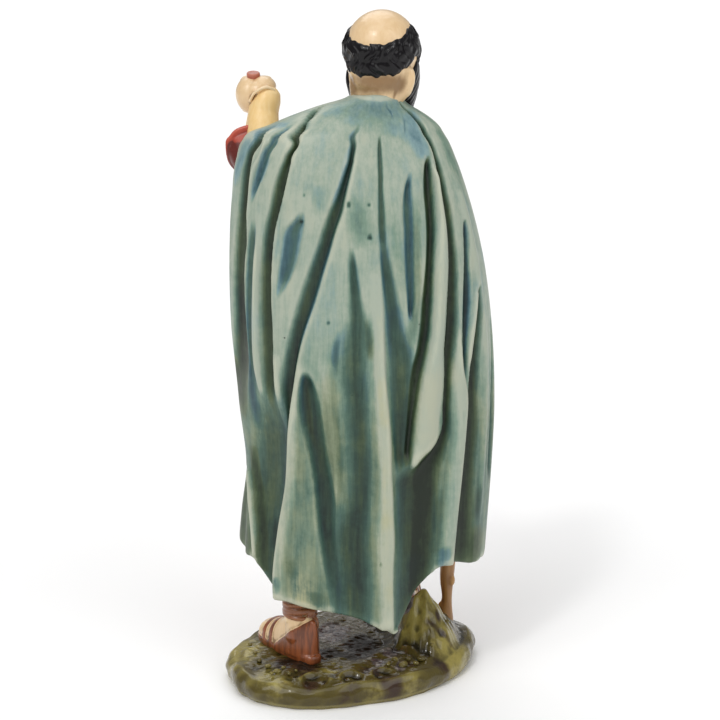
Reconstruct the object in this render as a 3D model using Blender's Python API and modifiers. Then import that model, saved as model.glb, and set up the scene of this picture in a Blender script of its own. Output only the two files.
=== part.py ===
"""Nativity shepherd figurine: one cast, painted figure that stands on its own oval piece of ground.

The figure is shaped as clay is: rough masses for the body, cloak, limbs, head and ground are put
together, fused into one skin, and cut flat underneath. Everything of the figure is given in figure
units, of which FIGURE_HEIGHT holds 191, with the sole of the standing foot at height 9.
It faces -Y, so its own left hand is at +X.
"""

import math

import bmesh
import bpy
import numpy as np
from mathutils import Matrix, Vector

# Driving dimensions, in metres
FIGURE_HEIGHT = 0.191
GROUND_THICKNESS = 0.009
GROUND_LENGTH = 0.083
GROUND_WIDTH = 0.062
GROUND_EDGE_ROUNDING = 0.0035
CLOAK_THICKNESS = 0.0024
STICK_DIAMETER = 0.0046
ROD_DIAMETER = 0.0036
SOLE_THICKNESS = 0.0016
BELT_WIDTH = 0.0060
SKIN_DETAIL = 0.00078
MOST_TRIANGLES = 9500

# Figure units
FIGURE_UNITS = 191.0
GROUND_UNITS = 9.0
UNIT = FIGURE_HEIGHT / FIGURE_UNITS
FIGURE_X, FIGURE_Y = -2.2, -0.4
GROUND_TURN = math.radians(32.0)

# Pose, in figure units
HEAD_CENTRE = Vector((-6.3, -2.0, 187.6))
HEAD_TURN = math.radians(-14.0)
NECK_FOOT = Vector((-4.6, 1.5, 168.0))
LEFT_SHOULDER, LEFT_ELBOW, LEFT_WRIST = Vector((15, 1, 163)), Vector((28.6, -2.0, 153)), Vector((28.8, -13.0, 171.5))
RIGHT_SHOULDER, RIGHT_ELBOW, RIGHT_WRIST = Vector((-17, 0, 158.5)), Vector((-28.6, -6, 132)), Vector((-31, -21, 117))
LEFT_FIST = Vector((31.2, -17.6, 175.2))
RIGHT_FIST = Vector((-30.5, -27.0, 112.5))
STICK_FOOT = Vector((-27.6, -15.0, 7.0))
LEFT_HIP, LEFT_KNEE, LEFT_ANKLE = Vector((9, 2, 98)), Vector((14, 4, 60)), Vector((18.2, 11.6, 21.5))
RIGHT_HIP, RIGHT_KNEE, RIGHT_ANKLE = Vector((-9, -2, 98)), Vector((-11.5, -14, 62)), Vector((-12.4, -10, 25.5))
LEFT_HEEL, LEFT_TOE = Vector((13.8, 18.4, GROUND_UNITS)), Vector((28.6, -4.2, GROUND_UNITS))
STEP_UNITS = 13.0
RIGHT_HEEL, RIGHT_TOE = Vector((-11.0, -5.5, STEP_UNITS)), Vector((-15.4, -30.5, STEP_UNITS - 0.8))


def smooth_between(x, low, high):
    """0 below low, 1 above high, with an S-shaped rise between."""
    t = np.clip((x - low) / (high - low), 0.0, 1.0)
    return t * t * (3 - 2 * t)


def through(stations, heights, column):
    """One column of a table of stations (height first, going down), read at any height by a smooth curve."""
    rows = sorted(stations)
    zs = np.array([r[0] for r in rows], float)
    values = np.array([r[column] for r in rows], float)
    slopes = np.gradient(values, zs)
    z = np.clip(heights, zs[0], zs[-1])
    i = np.clip(np.searchsorted(zs, z) - 1, 0, len(zs) - 2)
    span = zs[i + 1] - zs[i]
    t = (z - zs[i]) / span
    rising = (2 * t**3 - 3 * t**2 + 1) * values[i] + (t**3 - 2 * t**2 + t) * span * slopes[i]
    return rising + (3 * t**2 - 2 * t**3) * values[i + 1] + (t**3 - t**2) * span * slopes[i + 1]


def grid_faces(rows, columns, wrap):
    """Quads of a grid of points, joined round the columns if it wraps."""
    faces = []
    for j in range(rows - 1):
        for i in range(columns if wrap else columns - 1):
            k = (i + 1) % columns
            faces.append((j * columns + i, j * columns + k, (j + 1) * columns + k, (j + 1) * columns + i))
    return faces


class Clay:
    """The masses that the casting is made of, gathered in one mesh."""

    def __init__(self):
        self.mesh = bmesh.new()

    def loft(self, rings):
        """A closed body through rings of points, an array of rows by columns by three."""
        rows, columns, _ = rings.shape
        made = [self.mesh.verts.new(p) for p in rings.reshape(-1, 3)]
        faces = [self.mesh.faces.new([made[i] for i in f]) for f in grid_faces(rows, columns, True)]
        faces.append(self.mesh.faces.new(made[:columns][::-1]))
        faces.append(self.mesh.faces.new(made[-columns:]))
        bmesh.ops.recalc_face_normals(self.mesh, faces=faces)

    def ball(self, centre, radii, turn=None, segments=16):
        """An ellipsoid."""
        place = Matrix.Translation(centre) @ (turn or Matrix.Identity(3)).to_4x4() @ Matrix.Diagonal((*radii, 1))
        bmesh.ops.create_uvsphere(self.mesh, u_segments=segments, v_segments=segments // 2, radius=1, matrix=place)

    def curl(self, centre, radius):
        """One small lump of hair."""
        bmesh.ops.create_icosphere(self.mesh, subdivisions=1, radius=radius, matrix=Matrix.Translation(centre))

    def limb(self, points, radii, sides=12):
        """A round bar along a smooth line through points, with its own radius at each."""
        curve = bpy.data.curves.new("limb", "CURVE")
        curve.dimensions = "3D"
        curve.bevel_depth = 1.0
        curve.bevel_resolution = sides // 4 - 1
        curve.resolution_u = 5
        curve.use_fill_caps = True
        spline = curve.splines.new("BEZIER")
        spline.bezier_points.add(len(points) - 1)
        for knot, point, radius in zip(spline.bezier_points, points, radii):
            knot.co = point
            knot.radius = radius
            knot.handle_left_type = knot.handle_right_type = "AUTO"
        bar = bpy.data.objects.new("limb", curve)
        bpy.context.scene.collection.objects.link(bar)
        made = bpy.data.meshes.new_from_object(bar.evaluated_get(bpy.context.evaluated_depsgraph_get()))
        welded = bmesh.new()
        welded.from_mesh(made)
        bmesh.ops.remove_doubles(welded, verts=welded.verts, dist=1e-4)
        bmesh.ops.recalc_face_normals(welded, faces=welded.faces)
        welded.to_mesh(made)
        welded.free()
        self.mesh.from_mesh(made)
        bpy.data.objects.remove(bar)
        bpy.data.meshes.remove(made)
        bpy.data.curves.remove(curve)


# The cloak

# Height, then how far the cloak reaches to its left, its right, the back and the front of its side edges
CLOAK_REACH = (
    (176.6, 2.4, -10.6, 8.6, -9.0),
    (175.2, 5.2, -12.4, 9.2, -9.6),
    (173.6, 11.0, -14.4, 10.0, -10.4),
    (172.0, 16.2, -17.2, 10.8, -11.2),
    (170.0, 22.8, -20.3, 12.0, -12.0),
    (167.6, 32.4, -23.0, 13.2, -14.0),
    (164.0, 34.8, -25.4, 14.8, -16.0),
    (158.0, 36.2, -28.1, 17.0, -17.0),
    (146.0, 37.9, -32.3, 20.0, -18.5),
    (131.0, 38.8, -36.2, 22.3, -20.0),
    (110.0, 38.7, -39.3, 24.4, -21.0),
    (85.0, 36.6, -40.6, 25.6, -21.0),
    (66.0, 34.9, -40.0, 26.0, -20.0),
    (50.0, 36.6, -39.2, 26.6, -19.0),
    (38.0, 37.4, -38.6, 27.2, -18.5),
    (18.0, 35.0, -37.0, 27.5, -18.0),
)
# Angle round from the middle of the back, towards the figure's left, and the height of the hem there
CLOAK_HEM = (
    (-125, 66), (-112, 60), (-99, 55), (-90, 41), (-72, 38), (-47, 40), (-36, 40), (-28, 35), (-20, 27), (-14, 22),
    (-6, 24), (3, 26), (14, 28), (24, 28.5), (37, 29.5), (49, 31.5), (57, 39), (70, 40), (90, 42), (104, 45), (112, 51), (125, 60),
)
# Height, and the angles of the cloak's two front edges
CLOAK_EDGE = (
    (178, 150, 150), (172, 146, 144), (166, 136, 130), (158, 124, 122), (140, 116, 117),
    (100, 112, 116), (60, 110, 114), (30, 108, 112),
)


class Fold:
    """A furrow, or a ridge if it rises, that runs down the cloak through three points of angle and height."""

    def __init__(self, top, middle, bottom, half_width, depth, start=0.18, end=0.25):
        self.angles = top[0], middle[0], bottom[0]
        self.top, self.bottom = top[1], bottom[1]
        self.half_width = half_width
        self.depth = depth
        self.start, self.end = start, end

    def sink(self, angle, height, arc):
        """How far the surface goes in at each point; arc is the length of one degree there."""
        t = (self.top - height) / (self.top - self.bottom)
        first, middle, last = self.angles
        line = first * (1 - t) * (1 - 2 * t) + middle * 4 * t * (1 - t) + last * t * (2 * t - 1)
        across = np.clip(np.abs(angle - line) * arc / self.half_width, 0, 1)
        along = smooth_between(t, 0, self.start) * (1 - smooth_between(t, 1 - self.end, 1))
        return self.depth * (1 - across**2) ** 2 * along


CLOAK_FOLDS = (
    Fold((56, 168), (71, 120), (57, 72), 4.6, 2.4),
    Fold((60, 92), (56, 64), (51, 34), 5.0, 3.2, end=0.02),
    Fold((47, 167), (50, 156), (55, 143), 2.4, 1.6),
    Fold((52, 142), (55, 131), (60, 116), 2.2, 1.2),
    Fold((24, 173), (43, 132), (46, 90), 2.9, 2.8),
    Fold((22, 148), (31, 132), (38, 117), 3.2, 2.1, 0.35, 0.4),
    Fold((-6, 171), (21, 124), (39, 75), 3.0, 2.7, 0.35),
    Fold((25, 102), (21, 66), (9, 24), 3.9, 3.3, 0.12, 0.5),
    Fold((1, 137), (3, 85), (2, 20), 6.4, 2.2, 0.4, 0.02),
    Fold((-19, 168), (-15, 148), (-13, 122), 1.3, 1.0),
    Fold((-14, 138), (-14, 108), (-17, 76), 3.0, 1.9, 0.35, 0.1),
    Fold((-33, 157), (-27, 137), (-22, 113), 2.5, 2.1),
    Fold((-47, 161), (-31, 115), (-14, 69), 2.9, 3.1, 0.12),
    Fold((-40, 177), (-53, 161), (-53, 140), 2.2, 2.2, end=0.1),
    Fold((-54, 152), (-41, 108), (-33, 62), 3.1, 2.8),
    Fold((-22, 76), (-28, 52), (-29, 28), 7.5, 4.0, 0.2, 0.02),
    Fold((-65, 143), (-57, 120), (-50, 95), 2.1, 1.9),
    Fold((-73, 127), (-57, 83), (-53, 36), 3.2, 2.7, end=0.05),
    Fold((-80, 112), (-75, 84), (-76, 56), 2.0, 1.5),
    Fold((-100, 150), (-96, 100), (-97, 52), 4.0, 2.2, end=0.05),
    Fold((96, 158), (98, 100), (96, 40), 4.5, 2.4, end=0.05),
    Fold((82, 88), (84, 64), (80, 38), 3.0, 1.6, end=0.05),
    # Ridges
    Fold((14, 99), (15, 80), (13, 56), 1.8, -0.8),
    Fold((-8, 122), (-9, 74), (-12, 20), 3.2, -1.4, 0.4, 0.02),
    Fold((-49, 150), (-38, 112), (-22, 71), 3.4, -1.2, 0.4, 0.06),
    Fold((44, 88), (42, 62), (46, 30), 2.4, -1.2, 0.3, 0.02),
)
FILLED_ABOVE, HOLLOW_BELOW = 66.0, 44.0
LINING_Y = -1.0


def cloak_surface(angle, height):
    """The cloak's outer surface before it is folded, and the length of one degree there."""
    left = through(CLOAK_REACH, height, 1)
    right = through(CLOAK_REACH, height, 2)
    back = through(CLOAK_REACH, height, 3)
    front = through(CLOAK_REACH, height, 4)
    turn = np.radians(angle)
    middle_y = np.minimum(-1.0, 0.3 * front + 4.0)
    deep = np.where(np.abs(angle) < 90, back - middle_y, middle_y - front)
    wide = (left - right) / 2
    x = (left + right) / 2 + wide * np.sin(turn)
    y = middle_y + deep * np.cos(turn)
    arc = np.sqrt((wide * np.cos(turn)) ** 2 + (deep * np.sin(turn)) ** 2) * math.pi / 180
    return np.stack([x, y, height], axis=-1), arc


def grid_normals(points):
    """Unit normals of a grid of points, away from the figure's middle."""
    down = np.gradient(points, axis=0)
    round_it = np.gradient(points, axis=1)
    normal = np.cross(down, round_it)
    normal /= np.linalg.norm(normal, axis=-1, keepdims=True) + 1e-9
    outward = points * (1, 1, 0) - (0, -4, 0)
    flip = np.sign(np.sum(normal * outward, axis=-1, keepdims=True).sum())
    return normal * flip


def add_cloak(clay, columns=132, rows=78):
    """The cloak: a folded outer skin, and an inner one that is filled behind the body and hollow at the hem."""
    down = np.linspace(0, 1, rows) ** 1.35
    shares = np.linspace(-1, 1, columns)
    top = CLOAK_REACH[0][0]
    rough = top - down[:, None] * (top - 30) + 0 * shares[None, :]
    for _ in range(3):
        right_edge = through(CLOAK_EDGE, rough, 1)
        left_edge = through(CLOAK_EDGE, rough, 2)
        angle = np.where(shares < 0, shares * right_edge, shares * left_edge)
        hem = through(CLOAK_HEM, angle, 1)
        rough = top - down[:, None] * (top - hem)
    height = rough
    plain, arc = cloak_surface(angle, height)
    normal = grid_normals(plain)
    sink = sum(fold.sink(angle, height, arc) for fold in CLOAK_FOLDS)
    outer = plain - normal * sink[..., None]

    thick = CLOAK_THICKNESS / UNIT
    inner = outer - normal * thick
    filled = smooth_between(height, HOLLOW_BELOW, FILLED_ABOVE)
    near_edge = smooth_between(np.abs(shares), 0.80, 0.99)
    lining = LINING_Y + 0.55 * (outer[..., 1] - LINING_Y) * near_edge
    inner[..., 1] = inner[..., 1] * (1 - filled) + np.minimum(inner[..., 1], lining) * filled
    skin = np.concatenate([outer, inner[:, ::-1]], axis=1)
    clay.loft(skin)


# The tunic

# Height, then its reach to the left, right, front and back
TUNIC_REACH = (
    (176.0, 1.6, -10.4, -8.0, 6.6),
    (171.0, 9.5, -14.6, -11.0, 8.8),
    (164.0, 17.0, -20.0, -14.0, 12.0),
    (150.0, 17.5, -20.0, -16.5, 16.0),
    (132.0, 16.0, -17.5, -16.5, 18.0),
    (122.0, 15.5, -17.0, -15.5, 19.0),
    (112.0, 17.5, -18.5, -17.0, 20.0),
    (90.0, 21.0, -21.0, -19.0, 21.0),
    (70.0, 23.5, -23.5, -20.5, 21.5),
    (56.0, 25.0, -25.5, -21.5, 22.0),
)
BELT_HEIGHT = 121.0


def body_ring(reach, heights, columns):
    """Points round the body at each height, with the angle from its front."""
    angle = np.linspace(-math.pi, math.pi, columns, endpoint=False)[None, :]
    z = np.asarray(heights, float)[:, None] + 0 * angle
    left, right, front, back = (through(reach, z, k) for k in (1, 2, 3, 4))
    wide, middle_y = (left - right) / 2, (front + back) / 2
    x = (left + right) / 2 + wide * np.sin(angle)
    y = middle_y - (back - front) / 2 * np.cos(angle)
    return x, y, z, angle


def add_tunic(clay, columns=60, rows=30):
    """The knee-long tunic, gathered by a belt, with its skirt in pleats."""
    heights = np.linspace(TUNIC_REACH[0][0], TUNIC_REACH[-1][0], rows)
    x, y, z, angle = body_ring(TUNIC_REACH, heights, columns)
    skirt = smooth_between(-z, -BELT_HEIGHT, -70)
    chest = smooth_between(z, BELT_HEIGHT + 2, BELT_HEIGHT + 18) * (1 - smooth_between(z, 160, 172))
    pleats = 1 + 0.075 * skirt * np.cos(11 * angle + 0.8 * np.sin(2 * angle)) + 0.04 * chest * np.cos(
        8 * angle + z * 0.10
    )
    x, y = x * pleats, (y - 2) * pleats + 2
    z = z + skirt * 1.6 * np.cos(11 * angle)
    clay.loft(np.stack([x, y, z], axis=-1))
    half = BELT_WIDTH / UNIT / 2
    belt_heights = BELT_HEIGHT + half * np.array([-1.0, -0.6, 0.0, 0.6, 1.0])
    x, y, z, angle = body_ring(TUNIC_REACH, belt_heights, columns)
    swell = 1 + 0.11 * np.array([0.2, 0.85, 1.0, 0.85, 0.2])[:, None]
    clay.loft(np.stack([x * swell, (y - 2) * swell + 2, z], axis=-1))
    knot = Vector((4.5, -17.5, BELT_HEIGHT))
    clay.ball(knot, (3.4, 2.6, 3.6))
    clay.limb((knot, knot + Vector((-1.6, -1.4, -10)), knot + Vector((-1.2, -2.8, -24))), (1.6, 2.0, 2.4), 8)
    clay.limb((knot, knot + Vector((2.0, -1.2, -9)), knot + Vector((3.6, -2.4, -19))), (1.6, 1.9, 2.2), 8)


# Limbs, hands and what they hold


def add_arms(clay):
    """Sleeved arms: the left one is raised, the right one rests on the stick."""
    clay.limb((LEFT_SHOULDER, LEFT_ELBOW, LEFT_WRIST), (7.2, 5.6, 4.6))
    clay.limb((RIGHT_SHOULDER, RIGHT_ELBOW, RIGHT_WRIST), (7.0, 5.6, 4.4))
    # The wide outer sleeve that hangs from the raised forearm
    along = (LEFT_WRIST - LEFT_ELBOW).normalized()
    mouth = LEFT_ELBOW.lerp(LEFT_WRIST, 0.62)
    rings = []
    for share, wide, drop in ((-0.1, 6.2, 5.0), (0.3, 7.8, 7.5), (0.7, 9.4, 11.0), (1.0, 10.4, 14.0)):
        centre = LEFT_ELBOW.lerp(mouth, share)
        ring = []
        for k in range(20):
            turn = 2 * math.pi * k / 20
            hang = drop if math.cos(turn) < 0 else 5.2
            ring.append(centre + Vector((wide * math.sin(turn), 0, hang * math.cos(turn))) - along * 0.5)
        rings.append([list(p) for p in ring])
    clay.loft(np.array(rings))


def add_fist(clay, centre, grip, outward, size):
    """A closed hand round a bar that runs along grip, with its knuckles towards outward."""
    grip, outward = grip.normalized(), outward.normalized()
    across = grip.cross(outward).normalized()
    frame = Matrix((across, outward, grip)).transposed()
    clay.ball(centre, (0.42 * size, 0.40 * size, 0.46 * size), frame)
    for k in range(4):
        along = (k - 1.5) * 0.25 * size
        arc = [
            centre + grip * along + (across * math.cos(t) + outward * math.sin(t)) * 0.40 * size
            for t in np.radians([-20.0, 45.0, 110.0, 175.0])
        ]
        clay.limb(arc, [0.135 * size] * 4, 8)
    thumb = [
        centre + grip * (0.10 * size) - outward * (0.30 * size) + across * (0.25 * size),
        centre + grip * (0.52 * size) + across * (0.30 * size),
        centre + grip * (0.50 * size) + across * (0.10 * size) + outward * (0.34 * size),
    ]
    clay.limb(thumb, (0.17 * size, 0.16 * size, 0.13 * size), 8)


def add_hands(clay):
    """Both fists, the stick under the right one and the short rod in the left one."""
    rod = Vector((0.10, 0.30, 1.0)).normalized()
    add_fist(clay, LEFT_FIST, rod, Vector((0.35, -1, 0)), 12.4)
    half = ROD_DIAMETER / UNIT / 2
    clay.limb(
        (LEFT_FIST - rod * 11, LEFT_FIST, LEFT_FIST + rod * 8.6), (half * 0.9, half, half * 1.05), 8
    )
    clay.limb((LEFT_WRIST - Vector((0, -2, 4)), LEFT_WRIST, LEFT_FIST), (3.6, 3.7, 4.2))
    clay.limb((RIGHT_WRIST, RIGHT_FIST), (3.8, 4.2))
    add_fist(clay, RIGHT_FIST, RIGHT_FIST - STICK_FOOT, Vector((-0.3, -1, 0)), 11.4)
    half = STICK_DIAMETER / UNIT / 2
    top = RIGHT_FIST + (RIGHT_FIST - STICK_FOOT).normalized() * 9
    knots = [STICK_FOOT.lerp(top, share) for share in (0.0, 0.12, 0.3, 0.5, 0.7, 0.88, 1.0)]
    bends = (0.6, 0.0, -0.5, 0.5, -0.4, 0.3, 0.0)
    clay.limb(
        [p + Vector((b, -b * 0.6, 0)) for p, b in zip(knots, bends)],
        [half * r for r in (1.25, 0.98, 1.06, 0.98, 1.05, 1.0, 1.25)],
    )


def add_legs(clay):
    """Bare legs, the left one standing and the right one stepping up on the rock."""
    clay.limb((LEFT_HIP, LEFT_KNEE, LEFT_KNEE.lerp(LEFT_ANKLE, 0.35), LEFT_ANKLE), (9, 6.4, 6.3, 4.4))
    clay.limb((RIGHT_HIP, RIGHT_KNEE, RIGHT_KNEE.lerp(RIGHT_ANKLE, 0.35), RIGHT_ANKLE), (9, 6.4, 6.3, 4.3))


# Share of the foot's length, half its width and its height
FOOT_STATIONS = (
    (0.0, 0.9, 11.5), (0.09, 2.9, 12.5), (0.24, 4.4, 13.0), (0.4, 4.8, 11.6), (0.56, 5.1, 8.6),
    (0.74, 5.4, 6.4), (0.9, 4.9, 5.2), (0.97, 3.8, 4.2), (1.0, 2.4, 3.0),
)


def add_foot(clay, heel, toe, ankle):
    """A foot on its sole, with the ankle above it."""
    forward = Vector((toe.x - heel.x, toe.y - heel.y, toe.z - heel.z))
    side = Vector((-forward.y, forward.x, 0)).normalized()
    sole = SOLE_THICKNESS / UNIT
    rings = []
    for share, half, high in FOOT_STATIONS:
        centre = heel + forward * share
        ring = [
            centre + side * (half * math.cos(t)) + Vector((0, 0, sole * 0.5 + high * max(0.0, math.sin(t)) ** 0.7))
            for t in np.linspace(math.pi, -math.pi, 16, endpoint=False)
        ]
        rings.append([list(p) for p in ring])
    clay.loft(np.array(rings))
    slab = []
    for drop in (-0.6, sole):
        outline = []
        for t in np.linspace(0, 2 * math.pi, 24, endpoint=False):
            share = 0.5 - 0.53 * math.cos(t)
            half = 5.9 * abs(math.sin(t)) ** 0.6 * (0.62 + 0.44 * min(1.0, max(0.0, share)))
            point = heel + forward * share + side * math.copysign(half, math.sin(t)) + Vector((0, 0, drop))
            outline.append(list(point))
        slab.append(outline)
    clay.loft(np.array(slab))
    clay.limb((heel.lerp(toe, 0.26) + Vector((0, 0, 6)), ankle), (4.8, 4.6))


# The head


def head_turned(x, y, z):
    """A point of the head, given from its centre with the face towards -Y, in figure units."""
    c, s = math.cos(HEAD_TURN), math.sin(HEAD_TURN)
    return Vector((HEAD_CENTRE.x + x * c - y * s, HEAD_CENTRE.y + x * s + y * c, HEAD_CENTRE.z + z))


# How far each ball of the head is from its centre, and its radii
SKULL = ((0, 0, 1.6), (10.7, 12.0, 11.0))
OCCIPUT = ((0, 3.2, -2.6), (9.3, 8.4, 8.0))
LOWER_FACE = ((0, -3.2, -6.2), (7.6, 8.0, 8.6))
CHIN = ((0, -6.4, -12.0), (7.0, 5.8, 6.6))
CHEEK = (4.6, -7.6, -3.6)
EYE = (3.6, -10.0, 0.3)
EAR = ((9.0, 1.2, -6.0), (1.6, 2.6, 4.4))


def add_head(clay):
    """A bald crown with a ring of curls, a full beard, ears and a calm, plain face."""
    turn = Matrix.Rotation(HEAD_TURN, 3, "Z")
    for centre, radii in (SKULL, OCCIPUT, LOWER_FACE, CHIN):
        clay.ball(head_turned(*centre), radii, turn, 24)
    clay.limb((NECK_FOOT, head_turned(0, 2.4, -6)), (6.6, 6.0))
    nose = (head_turned(0, -10.4, 1.6), head_turned(0, -12.4, -2.6), head_turned(0, -12.8, -4.6))
    clay.limb(nose, (1.0, 1.4, 1.7), 8)
    for side in (-1, 1):
        (x, y, z), radii = EAR
        clay.ball(head_turned(x * side, y, z), radii, turn, 12)
        clay.ball(head_turned(CHEEK[0] * side, *CHEEK[1:]), (3.0, 3.2, 2.8), turn, 12)
        clay.ball(head_turned(EYE[0] * side, *EYE[1:]), (1.7, 1.3, 1.2), turn, 12)
        brow = (
            head_turned(1.5 * side, -11.6, 2.7),
            head_turned(4.4 * side, -10.8, 3.5),
            head_turned(7.4 * side, -8.4, 2.0),
        )
        clay.limb(brow, (0.9, 1.15, 0.7), 8)
        moustache = (
            head_turned(0.6 * side, -12.2, -6.8),
            head_turned(3.6 * side, -11.6, -7.6),
            head_turned(6.2 * side, -9.6, -11.2),
        )
        clay.limb(moustache, (1.5, 1.7, 0.8), 8)
    add_hair(clay)
    add_beard(clay)


def hair_band(angle):
    """The lower and upper height of the ring of hair at an angle from the back of the head."""
    forward = 0.5 - 0.5 * math.cos(angle)
    return -5.6 + 6.6 * forward, 3.0 + 8.0 * forward


def on_skull(angle, height, out):
    """A point at an angle from the back of the head and a height, out times the skull's reach from its axis."""
    (_, _, middle), (wide, deep, high) = SKULL
    level = math.sqrt(max(0.1, 1 - ((height - middle) / high) ** 2)) * out
    return head_turned(wide * level * math.sin(angle), deep * level * math.cos(angle), height)


def add_hair(clay):
    """Three rows of curls from temple to temple, round the back."""
    reach = math.radians(106)
    for row in range(3):
        count = 15
        for k in range(count):
            angle = reach * (2 * (k + 0.5 * (row % 2)) / (count - 0.5) - 1)
            low, high = hair_band(angle)
            height = low + (high - low) * (0.14 + 0.36 * row)
            clay.curl(on_skull(angle, height, 0.95), 1.75 + 0.25 * math.sin(7 * k + 3 * row))


def add_beard(clay):
    """Wavy locks that hang from the cheeks, round the chin."""
    count = 13
    for k in range(count):
        share = 2 * k / (count - 1) - 1
        angle = share * math.radians(98)
        side, front = math.sin(angle), math.cos(angle)
        start = head_turned(9.4 * side, -1.0 - 8.6 * front, -2.6 - 5.0 * front)
        middle = head_turned(9.2 * side, -2.2 - 9.6 * front, -8.6 - 2.6 * front)
        tip = head_turned(6.8 * side + 0.8 * math.sin(9 * share), -2.4 - 9.4 * front, -13.4 - 7.4 * front)
        clay.limb((start, middle, tip), (1.6, 2.0, 1.0), 8)


# The ground

ROCK_PEAK = Vector((-18.9, 0.0, 25.0))
# Direction in which each face of the rock falls, in degrees from +X, and its slope
ROCK_FACES = ((12, 2.2), (72, 1.3), (122, 1.1), (176, 1.15), (222, 1.3), (270, 1.6), (330, 2.2))
STEP = (Vector((-16.5, -16.5, 0)), 13.0)
DIMPLES = ((13.3, 30.0, 3.3, 2.6), (2.1, 28.4, 3.1, 2.4), (-7.6, 25.2, 3.6, 2.8))


def rock_height(x, y):
    """Height of the rock at a place, in figure units; far below the ground away from it."""
    faces = [
        ROCK_PEAK.z - slope * ((x - ROCK_PEAK.x) * math.cos(math.radians(a)) + (y - ROCK_PEAK.y) * math.sin(math.radians(a)))
        for a, slope in ROCK_FACES
    ]
    peak = np.min(faces, axis=0)
    centre, radius = STEP
    far = np.hypot((x - centre.x) * 1.15, y - centre.y)
    step = STEP_UNITS - 0.2 - np.maximum(0, far - radius) * 1.2
    mound = GROUND_UNITS - 1 + 8.5 * np.exp(-(((x + 20.5) / 10.5) ** 4) - ((y + 1.0) / 11.0) ** 2)
    return np.maximum(np.maximum(np.minimum(peak, ROCK_PEAK.z), step), mound)


def ground_height(x, y):
    """Height of the modelled ground at a place of the figure, in figure units."""
    swell = 0.5 * np.sin(x * 0.31 + 1.0) * np.cos(y * 0.27) + 0.3 * np.sin(x * 0.7 - y * 0.55)
    height = GROUND_UNITS + swell - 0.3
    for px, py, radius, depth in DIMPLES:
        far = np.hypot(x - px, (y - py) * 1.25) / radius
        height = height - depth * np.exp(-(far**4)) + 0.7 * np.exp(-(((far - 1.25) * 3.2) ** 2))
    return np.maximum(height, rock_height(x, y))


def add_ground(clay, columns=84, rows=22):
    """The oval ground, with a bulging side, the rock, and dimples pressed along its near edge."""
    angle = np.linspace(0, 2 * math.pi, columns, endpoint=False)[None, :]
    wobble = 1 + 0.012 * np.sin(3 * angle + 0.6) + 0.010 * np.sin(5 * angle - 1.2) + 0.006 * np.sin(9 * angle)
    long_way = GROUND_LENGTH / 2 * np.cos(angle) * wobble
    short_way = GROUND_WIDTH / 2 * np.sin(angle) * wobble
    c, s = math.cos(GROUND_TURN), math.sin(GROUND_TURN)
    rim_x, rim_y = long_way * c - short_way * s, long_way * s + short_way * c
    rings = []
    for share, rise in ((0.955, -0.15), (0.99, 0.18), (1.0, 0.45), (0.985, 0.72)):
        rings.append(np.stack([rim_x * share, rim_y * share, rise * GROUND_THICKNESS + 0 * rim_x], axis=-1))
    inset = 1 - GROUND_EDGE_ROUNDING / (GROUND_WIDTH / 2)
    for share in np.linspace(inset, 0.02, rows):
        x, y = rim_x * share, rim_y * share
        top = ground_height(x / UNIT - FIGURE_X, y / UNIT - FIGURE_Y)
        lift = GROUND_THICKNESS + (top - GROUND_UNITS) * UNIT
        edge = smooth_between(share, inset - 0.22, inset + 0.02)
        lift = lift * (1 - 0.17 * edge)
        rings.append(np.stack([x, y, lift], axis=-1))
    points = np.concatenate(rings, axis=0)
    points[..., 0] = points[..., 0] / UNIT - FIGURE_X
    points[..., 1] = points[..., 1] / UNIT - FIGURE_Y
    points[..., 2] = (points[..., 2] - GROUND_THICKNESS) / UNIT + GROUND_UNITS
    clay.loft(points)


# Putting it together


def sculpt():
    """All the masses in one mesh, in metres, with the ground's underside at height 0."""
    clay = Clay()
    add_ground(clay)
    add_legs(clay)
    add_foot(clay, LEFT_HEEL, LEFT_TOE, LEFT_ANKLE)
    add_foot(clay, RIGHT_HEEL, RIGHT_TOE, RIGHT_ANKLE)
    add_tunic(clay)
    add_cloak(clay)
    add_arms(clay)
    add_hands(clay)
    add_head(clay)
    place = Matrix.Translation((FIGURE_X * UNIT, FIGURE_Y * UNIT, GROUND_THICKNESS - GROUND_UNITS * UNIT))
    clay.mesh.transform(place @ Matrix.Scale(UNIT, 4))
    mesh = bpy.data.meshes.new("shepherd_masses")
    clay.mesh.to_mesh(mesh)
    clay.mesh.free()
    return mesh


def painted():
    """The casting's overall colour: the worn blue-green paint of the cloak under a dull varnish."""
    material = bpy.data.materials.new("painted_casting")
    material.use_nodes = True
    shader = material.node_tree.nodes["Principled BSDF"]
    shader.inputs["Base Color"].default_value = (0.27, 0.36, 0.33, 1)
    shader.inputs["Roughness"].default_value = 0.45
    shader.inputs["Metallic"].default_value = 0.0
    return material


def underside_cutter(collection):
    """A block below height 0, which cuts the casting flat where it stands."""
    mesh = bpy.data.meshes.new("underside_cutter")
    block = bmesh.new()
    size = 2 * GROUND_LENGTH
    bmesh.ops.create_cube(block, size=size, matrix=Matrix.Translation((0, 0, -size / 2)))
    block.to_mesh(mesh)
    block.free()
    cutter = bpy.data.objects.new("underside_cutter", mesh)
    cutter.hide_render = True
    cutter.display_type = "WIRE"
    collection.objects.link(cutter)
    return cutter


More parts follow.
